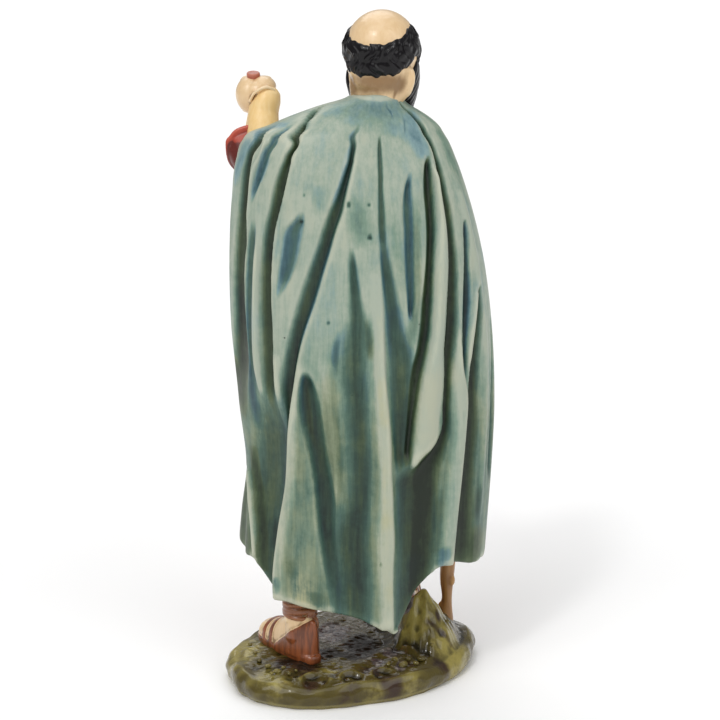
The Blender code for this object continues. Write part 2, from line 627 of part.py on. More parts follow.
def main():
    """Builds the figurine as one solid."""
    for old in list(bpy.data.objects):
        bpy.data.objects.remove(old)
    parts = bpy.data.collections.new("nativity_shepherd")
    cutters = bpy.data.collections.new("cutters")
    for collection in (parts, cutters):
        bpy.context.scene.collection.children.link(collection)

    figure = bpy.data.objects.new("shepherd_figurine", sculpt())
    figure.data.materials.append(painted())
    parts.objects.link(figure)

    fuse = figure.modifiers.new("fuse", "REMESH")
    fuse.mode = "VOXEL"
    fuse.voxel_size = SKIN_DETAIL
    fuse.adaptivity = 0.0
    soften = figure.modifiers.new("soften", "SMOOTH")
    soften.factor = 0.5
    soften.iterations = 1
    bpy.context.view_layer.update()
    dense = figure.evaluated_get(bpy.context.evaluated_depsgraph_get()).data
    triangles = sum(len(face.vertices) - 2 for face in dense.polygons)
    thin = figure.modifiers.new("thin_out", "DECIMATE")
    thin.ratio = min(1.0, MOST_TRIANGLES / triangles)
    thin.use_collapse_triangulate = True
    flat = figure.modifiers.new("cut_flat", "BOOLEAN")
    flat.operation = "DIFFERENCE"
    flat.object = underside_cutter(cutters)


main()
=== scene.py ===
"""A painted nativity shepherd figurine: cloak, tunic, limbs, head and ground as finished pieces of one casting.

Sizes of the figure are in millimetres, with the figure facing -Y, its own left hand at +X and the ground's
underside at height 0. FIGURE_PLACE turns them into metres in the frame's place.
"""

import logging
import math
from dataclasses import dataclass
from enum import Enum
from typing import Optional, Sequence

import bmesh
import bpy
import numpy as np
from mathutils import Matrix, Vector


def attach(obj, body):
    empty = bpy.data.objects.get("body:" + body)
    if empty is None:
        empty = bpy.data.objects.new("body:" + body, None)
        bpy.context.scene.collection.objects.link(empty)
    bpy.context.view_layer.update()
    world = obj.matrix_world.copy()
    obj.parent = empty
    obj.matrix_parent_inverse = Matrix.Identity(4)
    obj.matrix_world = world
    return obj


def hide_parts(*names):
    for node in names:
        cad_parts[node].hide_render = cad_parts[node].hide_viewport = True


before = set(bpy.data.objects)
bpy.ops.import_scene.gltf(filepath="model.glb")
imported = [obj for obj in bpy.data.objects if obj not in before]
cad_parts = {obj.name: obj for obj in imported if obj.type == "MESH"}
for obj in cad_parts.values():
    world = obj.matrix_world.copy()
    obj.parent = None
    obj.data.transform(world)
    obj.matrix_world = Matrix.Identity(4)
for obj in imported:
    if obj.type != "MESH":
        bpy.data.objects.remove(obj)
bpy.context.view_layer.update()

LOG = logging.getLogger("shepherd")
CASTING_NODE = "shepherd_figurine"
MM = 0.001
FIGURE_PLACE = (-2.2, -0.4, 0.0)
GROUND_LEVEL = 9.0
MOST_TRIANGLES = 100000

Points = np.ndarray
Piece = bpy.types.Object
Socket = bpy.types.NodeSocket
Knots = Sequence[Sequence[float]]


# Small helpers for curves and numbers


def ease(x: Points, low: float, high: float) -> Points:
    """An S-shaped rise."""
    t = np.clip((x - low) / (high - low), 0.0, 1.0)
    return t * t * (3 - 2 * t)


def smooth_curve(at: Points, knots: Points, values: Points) -> Points:
    """A smooth curve through values.

    Args:
        at: Where to read it.
        knots: Rising places of the values.
        values: One value, or one row of values, for each knot.

    Returns:
        The value or row at each place.
    """
    values = np.asarray(values, float)
    knots = np.asarray(knots, float)
    slopes = np.gradient(values, knots, axis=0)
    at = np.clip(at, knots[0], knots[-1])
    i = np.clip(np.searchsorted(knots, at) - 1, 0, len(knots) - 2)
    span = knots[i + 1] - knots[i]
    t = (at - knots[i]) / span
    if values.ndim > 1:
        span, t = span[..., None], t[..., None]
    rising = (2 * t**3 - 3 * t**2 + 1) * values[i] + (t**3 - 2 * t**2 + t) * span * slopes[i]
    return rising + (3 * t**2 - 2 * t**3) * values[i + 1] + (t**3 - t**2) * span * slopes[i + 1]


def station(table: Knots, height: Points, column: int) -> Points:
    """One column of a table of stations, read at any height."""
    rows = np.array(sorted(tuple(row) for row in table), float)
    return smooth_curve(height, rows[:, 0], rows[:, column])


def colour(code: str) -> tuple[float, float, float, float]:
    """A colour as a shader takes it.

    Args:
        code: Six hexadecimal digits, as a paint chart gives them.

    Returns:
        The linear colour, with full opacity.
    """
    shares = [int(code[k : k + 2], 16) / 255 for k in (0, 2, 4)]
    linear = [s / 12.92 if s <= 0.04045 else ((s + 0.055) / 1.055) ** 2.4 for s in shares]
    return linear[0], linear[1], linear[2], 1.0


def grid_faces(rows: int, columns: int, wrap: bool) -> np.ndarray:
    """Quads of a grid.

    Args:
        rows: Rows of points.
        columns: Points in a row.
        wrap: True if each row is a ring.

    Returns:
        Four point numbers for each quad.
    """
    j, i = np.meshgrid(np.arange(rows - 1), np.arange(columns if wrap else columns - 1), indexing="ij")
    j, i = j.ravel(), i.ravel()
    k = (i + 1) % columns
    return np.stack([j * columns + i, j * columns + k, (j + 1) * columns + k, (j + 1) * columns + i], axis=1)


def even_turns(count: int) -> Points:
    """Evenly spaced angles once round, in radians."""
    return np.linspace(0, 2 * math.pi, count, endpoint=False)


def tube_faces(rows: int, columns: int) -> list[list[int]]:
    """Quads of a grid of rings, closed at both ends.

    Args:
        rows: Rings.
        columns: Points in a ring.

    Returns:
        Point numbers of each face.
    """
    faces = grid_faces(rows, columns, True).tolist()
    faces.append(list(range(columns))[::-1])
    faces.append([(rows - 1) * columns + i for i in range(columns)])
    return faces


def border(number: np.ndarray) -> np.ndarray:
    """The numbers along a grid's border, once round."""
    return np.concatenate([number[0, :-1], number[:-1, -1], number[-1, :0:-1], number[:0:-1, 0]])


def spread_out(values: Points, reach: int) -> Points:
    """A grid of numbers, blurred.

    Args:
        values: The grid.
        reach: Half the width of the blur, in grid steps.

    Returns:
        The blurred grid.
    """
    weights = np.hanning(2 * reach + 3)[1:-1]
    weights /= weights.sum()
    for axis in (0, 1):
        padded = np.pad(values, [(reach, reach) if k == axis else (0, 0) for k in (0, 1)], mode="edge")
        values = np.apply_along_axis(np.convolve, axis, padded, weights, "valid")
    return values


# Meshes


def make_piece(name: str, points: Points, faces: Sequence[Sequence[int]], crease: float = 50.0) -> Piece:
    """An object of the figure from points in millimetres.

    Args:
        name: The piece's name.
        points: Rows of x, y and z.
        faces: Point numbers of each face.
        crease: Angle in degrees above which an edge stays sharp.

    Returns:
        The linked object, smoothly shaded.
    """
    mesh = bpy.data.meshes.new(name)
    mesh.from_pydata(((points + np.array(FIGURE_PLACE)) * MM).tolist(), [], [list(map(int, f)) for f in faces])
    mesh.validate()
    tidy = bmesh.new()
    tidy.from_mesh(mesh)
    bmesh.ops.recalc_face_normals(tidy, faces=tidy.faces)
    tidy.to_mesh(mesh)
    tidy.free()
    mesh.shade_smooth()
    mesh.set_sharp_from_angle(angle=math.radians(crease))
    piece = bpy.data.objects.new(name, mesh)
    bpy.context.scene.collection.objects.link(piece)
    return piece


def figure_points(piece: Piece) -> Points:
    """Where a piece's points are.

    Args:
        piece: The piece.

    Returns:
        Rows of x, y and z in the figure's millimetres.
    """
    mesh = piece.data
    flat = np.empty(len(mesh.vertices) * 3)
    mesh.vertices.foreach_get("co", flat)
    return flat.reshape(-1, 3) / MM - np.array(FIGURE_PLACE)


def move_points(piece: Piece, points: Points) -> None:
    """Gives a piece new places for its points."""
    piece.data.vertices.foreach_set("co", ((points + np.array(FIGURE_PLACE)) * MM).ravel())
    piece.data.update()


def point_normals(piece: Piece) -> Points:
    """The way that a piece's surface faces.

    Args:
        piece: The piece.

    Returns:
        A unit normal for each point.
    """
    mesh = piece.data
    flat = np.empty(len(mesh.vertices) * 3, np.float32)
    mesh.vertex_normals.foreach_get("vector", flat)
    return flat.reshape(-1, 3).astype(float)


def edges_of(piece: Piece) -> tuple[np.ndarray, np.ndarray]:
    """A piece's edges.

    Args:
        piece: The piece.

    Returns:
        Two point numbers for each edge, and how many edges each point has.
    """
    ends = np.empty(len(piece.data.edges) * 2, np.int32)
    piece.data.edges.foreach_get("vertices", ends)
    return ends.reshape(-1, 2), np.bincount(ends, minlength=len(piece.data.vertices))


def neighbour_mean(values: Points, edges: np.ndarray, count: np.ndarray) -> Points:
    """Each point's mean over the points that it shares an edge with.

    Args:
        values: A row for each point.
        edges: Two point numbers for each edge.
        count: How many edges each point has.

    Returns:
        The means, in the same shape.
    """
    total = np.zeros_like(values)
    for k in range(values.shape[1]):
        total[:, k] = np.bincount(edges[:, 0], values[edges[:, 1], k], len(values)) + np.bincount(
            edges[:, 1], values[edges[:, 0], k], len(values)
        )
    return total / np.maximum(count, 1)[:, None]


def mark(piece: Piece, name: str, values: Points) -> None:
    """Stores a number for each point, for the paint to read."""
    made = piece.data.attributes.new(name, "FLOAT", "POINT")
    made.data.foreach_set("value", np.asarray(values, np.float32))


def mark_hollows(piece: Piece, reach: int, scale: float) -> None:
    """Marks how far each point lies in a hollow (up to 1) or on a raised place (down to -1).

    Args:
        piece: The piece.
        reach: How many times the surface is smoothed, which sets the width of the hollows.
        scale: Depth in millimetres that counts as 1.
    """
    edges, count = edges_of(piece)
    start = figure_points(piece)
    soft = start
    for _ in range(reach):
        soft = 0.4 * soft + 0.6 * neighbour_mean(soft, edges, count)
    depth = np.sum((soft - start) * point_normals(piece), axis=1)
    spread = depth[:, None]
    for _ in range(3):
        spread = 0.5 * spread + 0.5 * neighbour_mean(spread, edges, count)
    mark(piece, "hollow", np.clip(spread[:, 0] / scale, -1, 1))


def shade_more(piece: Piece, amount: Points) -> None:
    """Adds painted shade to a piece's hollow marks, so that more of the dark wash lies there.

    Args:
        piece: The piece.
        amount: What is added at each point.
    """
    values = np.empty(len(piece.data.vertices), np.float32)
    piece.data.attributes["hollow"].data.foreach_get("value", values)
    piece.data.attributes["hollow"].data.foreach_set("value", np.clip(values + amount, -1, 1).astype(np.float32))


def relax(piece: Piece, share: Points, times: int) -> None:
    """Smooths part of a piece.

    Args:
        piece: The piece.
        share: How far each point follows its neighbours, from 0 to 1.
        times: How often it is done.
    """
    edges, count = edges_of(piece)
    points = figure_points(piece)
    for _ in range(times):
        points = points + share[:, None] * (neighbour_mean(points, edges, count) - points)
    move_points(piece, points)


def closed_shell(name: str, outer: Points, inner: Points, lip: float) -> Piece:
    """Closes an outer skin and an inner one of half its rows and columns with a rounded rim.

    Args:
        name: The piece's name.
        outer: The outer grid of points.
        inner: The inner one, which has every second point.
        lip: How far the rim bulges.

    Returns:
        The closed piece.
    """
    rows, columns, _ = outer.shape
    number = np.arange(rows * columns).reshape(rows, columns)
    few = np.arange(inner.shape[0] * inner.shape[1]).reshape(inner.shape[:2])
    nearest = np.clip(number // columns, 1, rows - 2) * columns + np.clip(number % columns, 1, columns - 2)
    rim, inner_rim = border(number), border(few)
    flat, flat_inner = outer.reshape(-1, 3), inner.reshape(-1, 3)
    away = flat[rim] - flat[nearest.ravel()[rim]]
    away /= np.linalg.norm(away, axis=1, keepdims=True)
    n = len(rim)
    across = flat_inner[inner_rim]
    opposite = np.empty((n, 3))
    opposite[::2] = across
    opposite[1::2] = (across + np.roll(across, -1, axis=0)) / 2
    profile = ((0.12, 0.55), (0.5, 1.0), (0.88, 0.55))
    lips = [flat[rim] * (1 - s) + opposite * s + away * push * lip for s, push in profile]
    points = np.concatenate([flat, flat_inner, *lips])
    base = len(flat) + len(flat_inner)
    chain = [rim, *(base + k * n + np.arange(n) for k in range(len(lips)))]
    faces = grid_faces(rows, columns, False).tolist()
    faces += (grid_faces(*inner.shape[:2], False)[:, ::-1] + len(flat)).tolist()
    for first, second in zip(chain, chain[1:]):
        faces += np.stack([first, second, np.roll(second, -1), np.roll(first, -1)], axis=1).tolist()
    last, inside = chain[-1], inner_rim + len(flat)
    for k in range(n // 2):
        after = (k + 1) % (n // 2)
        faces.append([last[2 * k], inside[k], inside[after], last[(2 * k + 2) % n], last[2 * k + 1]])
    return make_piece(name, points, faces, 80.0)


class Clay:
    """Rough masses that are fused into one skin."""

    def __init__(self) -> None:
        """Starts with nothing."""
        self.points: list[Points] = []
        self.faces: list[list[int]] = []
        self.used = 0

    def add(self, points: Points, faces: Sequence[Sequence[int]]) -> None:
        """Adds a closed body.

        Args:
            points: Rows of x, y and z.
            faces: Point numbers of each face, from 0.
        """
        self.points.append(np.asarray(points, float).reshape(-1, 3))
        self.faces += [[int(i) + self.used for i in face] for face in faces]
        self.used += len(self.points[-1])

    def loft(self, rings: Points) -> None:
        """Adds a closed body through rings.

        Args:
            rings: Rows by columns by three.
        """
        rings = np.asarray(rings, float)
        rows, columns, _ = rings.shape
        self.add(rings, tube_faces(rows, columns))

    def ball(self, centre: Vector, radii: Sequence[float], turn: Optional[Matrix] = None, sides: int = 24) -> None:
        """Adds an ellipsoid.

        Args:
            centre: Its middle.
            radii: Its three radii.
            turn: How it is turned.
            sides: Points round it.
        """
        rows = sides // 2
        lift = np.linspace(-math.pi / 2 + 0.02, math.pi / 2 - 0.02, rows + 1)[:, None]
        turn_by = even_turns(sides)[None, :]
        unit = np.stack(
            [np.cos(lift) * np.cos(turn_by), np.cos(lift) * np.sin(turn_by), np.sin(lift) + 0 * turn_by], axis=-1
        )
        spread = unit * np.array(radii)
        if turn is not None:
            spread = spread @ np.array(turn).T
        self.loft(spread + np.array(centre))

    def limb(self, points: Knots, radii: Sequence[float], sides: int = 14, flat: float = 1.0) -> None:
        """Adds a round bar along a smooth line, with rounded ends.

        Args:
            points: Where it passes.
            radii: Its radius at each of them.
            sides: Points round it.
            flat: Its thickness as a share of its width.
        """
        knots = np.array([list(p) for p in points], float)
        steps = 6 * (len(knots) - 1) + 1
        at = np.linspace(0, len(knots) - 1, steps)
        places = np.arange(len(knots))
        line = smooth_curve(at, places, knots)
        width = smooth_curve(at, places, np.asarray(radii, float))
        along = np.gradient(line, axis=0)
        along /= np.linalg.norm(along, axis=1, keepdims=True)
        side = np.cross(along[0], (0.13, 0.31, 0.94) if abs(along[0][2]) < 0.8 else (0.94, 0.31, 0.13))
        rings = []
        for k in range(steps):
            side = side - along[k] * np.dot(side, along[k])
            side /= np.linalg.norm(side)
            other = np.cross(along[k], side)
            turn_by = even_turns(sides)[:, None]
            ring = np.cos(turn_by) * side + flat * np.sin(turn_by) * other
            tips = ((-0.92, 0.4), (-0.6, 0.8)) if k == 0 else ((0.6, 0.8), (0.92, 0.4)) if k == steps - 1 else ()
            made = [line[k] + along[k] * push * width[k] + ring * width[k] * share for push, share in tips]
            made.insert(len(made) if k == 0 else 0, line[k] + ring * width[k])
            rings += made
        self.loft(np.array(rings))

    def fuse(self, name: str, detail: float, passes: int, most: int = MOST_TRIANGLES) -> Piece:
        """Makes one skin of everything that was added.

        Args:
            name: The piece's name.
            detail: Size of the skin's cells in millimetres.
            passes: How often the skin is smoothed.
            most: The most triangles that it may have.

        Returns:
            The finished piece.
        """
        rough = make_piece(name + "_rough", np.concatenate(self.points), self.faces)
        skin = rough.modifiers.new("skin", "REMESH")
        skin.mode = "VOXEL"
        skin.voxel_size = detail * MM
        soften = rough.modifiers.new("soften", "SMOOTH")
        soften.factor = 0.5
        soften.iterations = passes
        mesh = bpy.data.meshes.new_from_object(rough.evaluated_get(bpy.context.evaluated_depsgraph_get()))
        triangles = sum(len(face.vertices) - 2 for face in mesh.polygons)
        if triangles > most:
            thin = rough.modifiers.new("thin", "DECIMATE")
            thin.ratio = most / triangles
            bpy.data.meshes.remove(mesh)
            mesh = bpy.data.meshes.new_from_object(rough.evaluated_get(bpy.context.evaluated_depsgraph_get()))
        bpy.data.objects.remove(rough)
        mesh.name = name
        mesh.materials.clear()
        mesh.shade_smooth()
        piece = bpy.data.objects.new(name, mesh)
        bpy.context.scene.collection.objects.link(piece)
        return piece

    def carve(
        self, name: str, detail: float, passes: int, reach: int, scale: float, most: int = MOST_TRIANGLES
    ) -> Piece:
        """Fuses everything and marks its hollows.

        Args:
            name: The piece's name.
            detail: Size of the skin's cells in millimetres.
            passes: How often the skin is smoothed.
            reach: How many times it is smoothed to find the hollows.
            scale: Depth in millimetres that counts as a full hollow.
            most: The most triangles that it may have.

        Returns:
            The finished piece.
        """
        piece = self.fuse(name, detail, passes, most)
        mark_hollows(piece, reach, scale)
        return piece


# Paint


class NodeTable:
    """Short ways to add shader nodes to a tree."""

    def __init__(self, tree: bpy.types.NodeTree) -> None:
        """Keeps the tree."""
        self.tree = tree

    def add(self, kind: str, **settings: object) -> bpy.types.Node:
        """Adds a node.

        Args:
            kind: The node's type, without its ShaderNode start.
            settings: Properties to set on it.

        Returns:
            The node.
        """
        node = self.tree.nodes.new("ShaderNode" + kind)
        for name, value in settings.items():
            setattr(node, name, value)
        return node

    def feed(self, socket: Socket, value: object) -> None:
        """Links a socket, or sets it.

        Args:
            socket: The input.
            value: Another node's output, a number or a colour.
        """
        if isinstance(value, Socket):
            self.tree.links.new(value, socket)
        else:
            socket.default_value = value

    def maths(self, operation: str, first: object, second: object = 0.0, clamp: bool = False) -> Socket:
        """A sum, product or other operation of two numbers.

        Args:
            operation: Its name in a Math node.
            first: A socket or number.
            second: A socket or number.
            clamp: True to keep the result from 0 to 1.

        Returns:
            The result.
        """
        node = self.add("Math", operation=operation, use_clamp=clamp)
        self.feed(node.inputs[0], first)
        self.feed(node.inputs[1], second)
        return node.outputs[0]

    def times(self, first: object, second: object) -> Socket:
        """The product of two numbers."""
        return self.maths("MULTIPLY", first, second)

    def plus(self, first: object, second: object) -> Socket:
        """The sum of two numbers."""
        return self.maths("ADD", first, second)

    def minus(self, first: object, second: object) -> Socket:
        """The first number less the second."""
        return self.maths("SUBTRACT", first, second)

    def rise(self, value: object, low: object, high: object) -> Socket:
        """A smooth mask that is 0 below low and 1 above high.

        Args:
            value: What is read.
            low: Where it starts.
            high: Where it ends.

        Returns:
            The mask.
        """
        node = self.add("MapRange", interpolation_type="SMOOTHSTEP")
        for k, given in enumerate((value, low, high)):
            self.feed(node.inputs[k], given)
        return node.outputs[0]

    def mix(self, share: object, first: object, second: object, blend: str = "MIX") -> Socket:
        """Mixes two colours.

        Args:
            share: How much of the second.
            first: A colour or socket.
            second: A colour or socket.
            blend: How they mix.

        Returns:
            The mixed colour.
        """
        node = self.add("Mix", data_type="RGBA", blend_type=blend, clamp_factor=True)
        self.feed(node.inputs[0], share)
        self.feed(node.inputs[6], first)
        self.feed(node.inputs[7], second)
        return node.outputs[2]

    def noise(self, where: object, scale: object, detail: float = 3.0, rough: float = 0.5) -> Socket:
        """Cloudy noise from 0 to 1.

        Args:
            where: Its coordinates.
            scale: Its scale, per metre.
            detail: How many octaves.
            rough: How strong the finer ones are.

        Returns:
            The noise.
        """
        node = self.add("TexNoise")
        self.feed(node.inputs["Vector"], where)
        self.feed(node.inputs["Scale"], scale)
        self.feed(node.inputs["Detail"], detail)
        self.feed(node.inputs["Roughness"], rough)
        return node.outputs["Fac"]

    def drift(self, where: object, scale: object, detail: float, rough: float) -> Socket:
        """Cloudy noise about 0."""
        return self.minus(self.noise(where, scale, detail, rough), 0.5)

    def mark(self, name: str) -> Socket:
        """A number that the mesh holds at each point."""
        return self.add("Attribute", attribute_name=name).outputs["Fac"]

    def place(self) -> Socket:
        """The point's place on the object."""
        return self.add("TexCoord").outputs["Object"]

    def stretched(self, where: object, shares: Sequence[float]) -> Socket:
        """Coordinates scaled by axis.

        Args:
            where: The coordinates.
            shares: The scale along each axis.

        Returns:
            The scaled coordinates.
        """
        node = self.add("VectorMath", operation="MULTIPLY")
        self.feed(node.inputs[0], where)
        self.feed(node.inputs[1], tuple(shares))
        return node.outputs[0]


PIT_COLOUR = "1A1F1C"
PIT_COVER = 0.75
BRUSH_SCALE = 900.0
GRAIN_SCALE = 1500.0


class Effect(Enum):
    """Painter's effects that several finishes share."""

    # Dark paint in hollows, and painted shade where it was added to the hollow marks
    WASH = "dark_wash_and_painted_shade"
    BRUSH = "brush_marks"
    PITS = "bubble_pits"
    GLOSS = "uneven_varnish"


def effect_group(effect: Effect) -> bpy.types.NodeTree:
    """The node group of an effect, built when it is first asked for.

    Args:
        effect: Which one.

    Returns:
        The group.
    """
    known = bpy.data.node_groups.get(effect.value)
    if known:
        return known
    group = bpy.data.node_groups.new(effect.value, "ShaderNodeTree")
    start, end = group.nodes.new("NodeGroupInput"), group.nodes.new("NodeGroupOutput")
    table = NodeTable(group)

    def takes(name: str, value: float) -> Socket:
        """Adds a named number to the group's inputs and returns it."""
        group.interface.new_socket(name, in_out="INPUT", socket_type="NodeSocketFloat").default_value = value
        return start.outputs[name]

    def gives(name: str, value: Socket) -> None:
        """Adds a named number to the group's outputs."""
        group.interface.new_socket(name, in_out="OUTPUT", socket_type="NodeSocketFloat")
        group.links.new(value, end.inputs[name])

    where = table.place()
    if effect is Effect.WASH:
        hollow, low, high = takes("Hollow", 0.0), takes("Low", 0.1), takes("High", 0.6)
        broken, scale = takes("Broken", 0.25), takes("Scale", 600.0)
        drift = table.times(table.drift(where, scale, 4.0, 0.6), broken)
        gives("Mask", table.rise(table.plus(hollow, drift), low, high))
    elif effect is Effect.BRUSH:
        scale = takes("Scale", BRUSH_SCALE)
        long_way = table.noise(table.stretched(where, (1.0, 1.0, 0.14)), scale, 3.0, 0.6)
        gives("Streak", table.rise(long_way, 0.35, 0.68))
        gives("Height", long_way)
    elif effect is Effect.PITS:
        scale, amount = takes("Scale", 260.0), takes("Amount", 0.12)
        cells = table.add("TexVoronoi", feature="F1")
        table.feed(cells.inputs["Vector"], where)
        table.feed(cells.inputs["Scale"], scale)
        chosen = table.add("SeparateColor")
        table.feed(chosen.inputs[0], cells.outputs["Color"])
        there = table.maths("LESS_THAN", chosen.outputs[0], amount)
        size = table.plus(table.times(chosen.outputs[1], 0.05), 0.035)
        round_mask = table.minus(1.0, table.rise(cells.outputs["Distance"], table.times(size, 0.5), size))
        gives("Mask", table.times(there, round_mask))
    else:
        base, spread, scale = takes("Base", 0.4), takes("Spread", 0.12), takes("Scale", 240.0)
        drift = table.drift(where, scale, 3.0, 0.55)
        gives("Roughness", table.maths("ADD", base, table.times(drift, spread), clamp=True))
    return group


@dataclass(frozen=True)
class Varnish:
    """How glossy a paint is and how much of the brush it shows."""

    roughness: float = 0.42
    spread: float = 0.14
    coat: float = 0.15
    coat_roughness: float = 0.25
    brush_depth: float = 0.05
    grain_depth: float = 0.03
    pit_depth: float = 0.25
    pit_amount: float = 0.08
    pit_scale: float = 260.0
    specular: float = 0.42


class Paint:
    """A material under construction, with the effects at hand."""

    def __init__(self, name: str, varnish: Varnish) -> None:
        """Starts a Principled material.

        Args:
            name: The material's name.
            varnish: Its gloss and relief.
        """
        self.material = bpy.data.materials.new(name)
        self.material.use_nodes = True
        self.varnish = varnish
        self.table = NodeTable(self.material.node_tree)
        self.shader = self.material.node_tree.nodes["Principled BSDF"]
        self.where = self.table.place()

    def effect(self, effect: Effect, **values: object) -> bpy.types.Node:
        """Places an effect's group.

        Args:
            effect: Which one.
            values: Its inputs by name, lower case.

        Returns:
            The group node.
        """
        node = self.table.add("Group", node_tree=effect_group(effect))
        for name, value in values.items():
            self.table.feed(node.inputs[name.capitalize()], value)
        return node

    def wash(self, hollow: object, low: float, high: float, broken: float = 0.25, scale: float = 600.0) -> Socket:
        """A mask of thin dark paint that stays in hollows, with the painted shade added to the hollow marks."""
        return self.effect(Effect.WASH, hollow=hollow, low=low, high=high, broken=broken, scale=scale).outputs["Mask"]

    def finish(self, base: Socket) -> bpy.types.Material:
        """Adds pits, gloss and relief to a colour.

        Args:
            base: The paint's colour.

        Returns:
            The finished material.
        """
        table, varnish = self.table, self.varnish
        pits = self.effect(Effect.PITS, scale=varnish.pit_scale, amount=varnish.pit_amount).outputs["Mask"]
        pitted = table.mix(table.times(pits, PIT_COVER), base, colour(PIT_COLOUR))
        table.feed(self.shader.inputs["Base Color"], pitted)
        gloss = self.effect(Effect.GLOSS, base=varnish.roughness, spread=varnish.spread)
        table.feed(self.shader.inputs["Roughness"], gloss.outputs["Roughness"])
        self.shader.inputs["Specular IOR Level"].default_value = varnish.specular
        self.shader.inputs["Coat Weight"].default_value = varnish.coat
        self.shader.inputs["Coat Roughness"].default_value = varnish.coat_roughness
        brush = self.effect(Effect.BRUSH, scale=BRUSH_SCALE).outputs["Height"]
        grain = table.noise(self.where, GRAIN_SCALE, 2.0, 0.5)
        relief = table.times(brush, varnish.brush_depth)
        relief = table.plus(relief, table.times(grain, varnish.grain_depth))
        relief = table.minus(relief, table.times(pits, varnish.pit_depth))
        bump = table.add("Bump")
        bump.inputs["Strength"].default_value = 1.0
        bump.inputs["Distance"].default_value = MM
        table.feed(bump.inputs["Height"], relief)
        table.feed(self.shader.inputs["Normal"], bump.outputs["Normal"])
        return self.material


@dataclass(frozen=True)
class CloakPaint:
    """Pale grey-green cloth, dyed from olive through teal to blue, and nearly black in the deepest folds, where painted
    shade darkens it further.
    """

    shades: tuple[float, ...] = (0.0, 0.28, 0.55, 0.82, 1.12)
    olive: tuple[str, ...] = ("AEB29D", "848F74", "57664A", "394931", "1A2418")
    teal: tuple[str, ...] = ("A4AE9E", "78907F", "4A6659", "30493F", "17241F")
    blue: tuple[str, ...] = ("9DAFAA", "7C999C", "4C6E76", "314E56", "17262B")
    cream: str = "BDB588"
    dry_brush: str = "BFC1AC"

    def ramp(self, table: NodeTable, value: object, codes: Sequence[str]) -> Socket:
        """A row of shades from light to dark.

        Args:
            table: The material's nodes.
            value: The dye's strength.
            codes: One colour for each of the shades.

        Returns:
            The colour.
        """
        node = table.add("ValToRGB")
        stops = node.color_ramp.elements
        top = self.shades[-1]
        while len(stops) < len(codes):
            stops.new(0.5)
        for stop, shade, code in zip(stops, self.shades, codes):
            stop.position = shade / top
            stop.color = colour(code)
        table.feed(node.inputs[0], table.maths("DIVIDE", value, top))
        return node.outputs[0]

    def material(self) -> bpy.types.Material:
        """The cloak's outer paint."""
        varnish = Varnish(roughness=0.44, coat=0.05, coat_roughness=0.3, pit_amount=0.1, specular=0.34)
        paint = Paint("cloak_paint", varnish)
        t, where = paint.table, paint.where
        hollow, dye_and_shade, blue, cream = (t.mark(name) for name in ("hollow", "dye_and_shade", "blue", "cream"))
        patches = t.drift(where, 75.0, 3.0, 0.6)
        broad = t.drift(t.stretched(where, (1.0, 1.0, 0.1)), 330.0, 4.0, 0.65)
        thin = t.drift(t.stretched(where, (1.0, 1.0, 0.07)), 1300.0, 3.0, 0.6)
        mottle = t.drift(where, 480.0, 4.0, 0.7)
        # The hollow mark adds painted shade in the folds; the noises vary the paint at random
        strength = dye_and_shade
        for part, share in ((hollow, 0.22), (patches, 0.42), (broad, 0.44), (thin, 0.24), (mottle, 0.26)):
            strength = t.plus(strength, t.times(part, share))
        strength = t.maths("MAXIMUM", strength, 0.0)
        hue = t.plus(blue, t.times(t.plus(patches, broad), 0.8))
        tone = t.mix(t.rise(hue, 0.05, 0.5), self.ramp(t, strength, self.olive), self.ramp(t, strength, self.teal))
        tone = t.mix(t.rise(hue, 0.5, 1.0), tone, self.ramp(t, strength, self.blue))
        light_only = t.minus(1.0, t.rise(strength, 0.2, 0.55))
        ragged = t.rise(t.plus(cream, t.times(patches, 1.2)), 0.35, 0.95)
        tone = t.mix(t.times(t.times(ragged, light_only), 0.75), tone, colour(self.cream))
        rubbed = t.rise(t.plus(t.times(hollow, -1.0), t.times(thin, 0.9)), 0.35, 1.0)
        tone = t.mix(t.times(t.times(rubbed, light_only), 0.6), tone, colour(self.dry_brush))
        return paint.finish(tone)


@dataclass(frozen=True)
class WashedPaint:
    """One paint with a darker wash in its hollows and a paler, rubbed tone on what stands out."""

    name: str
    base: str
    shade: str
    light: str
    varnish: Varnish = Varnish()
    low: float = 0.05
    high: float = 0.55
    shade_share: float = 0.85

    def colour_of(self, paint: Paint) -> Socket:
        """The paint's colour before any second paint.

        Args:
            paint: The material under construction.

        Returns:
            The colour.
        """
        t = paint.table
        hollow = t.mark("hollow")
        streak = paint.effect(Effect.BRUSH, scale=700.0).outputs["Streak"]
        tone = t.mix(t.times(streak, 0.25), colour(self.base), colour(self.light))
        tone = t.mix(t.times(t.rise(t.times(hollow, -1.0), 0.1, 0.7), 0.6), tone, colour(self.light))
        mask = t.times(paint.wash(hollow, self.low, self.high), self.shade_share)
        return t.mix(mask, tone, colour(self.shade))

    def material(self) -> bpy.types.Material:
        """The finished material."""
        paint = Paint(self.name, self.varnish)
        return paint.finish(self.colour_of(paint))


@dataclass(frozen=True)
class TwoPaints:
    """A washed paint with others over parts of the piece: each has the mark that says where, a colour and streaks."""

    under: WashedPaint
    over: tuple[tuple[str, str, float], ...]
    shadow: str = "2A130C"
    streak_tone: str = "46210F"

    def material(self) -> bpy.types.Material:
        """The finished material."""
        paint = Paint(self.under.name, self.under.varnish)
        t = paint.table
        tone = self.under.colour_of(paint)
        hollow = t.mark("hollow")
        streak = paint.effect(Effect.BRUSH, scale=560.0).outputs["Streak"]
        for name, code, streaks in self.over:
            shaded = t.mix(t.times(t.rise(hollow, 0.0, 0.6), 0.6), colour(code), colour(self.shadow))
            shaded = t.mix(t.times(streak, streaks), shaded, colour(self.streak_tone))
            tone = t.mix(t.rise(t.mark(name), 0.35, 0.65), tone, shaded)
        return paint.finish(tone)


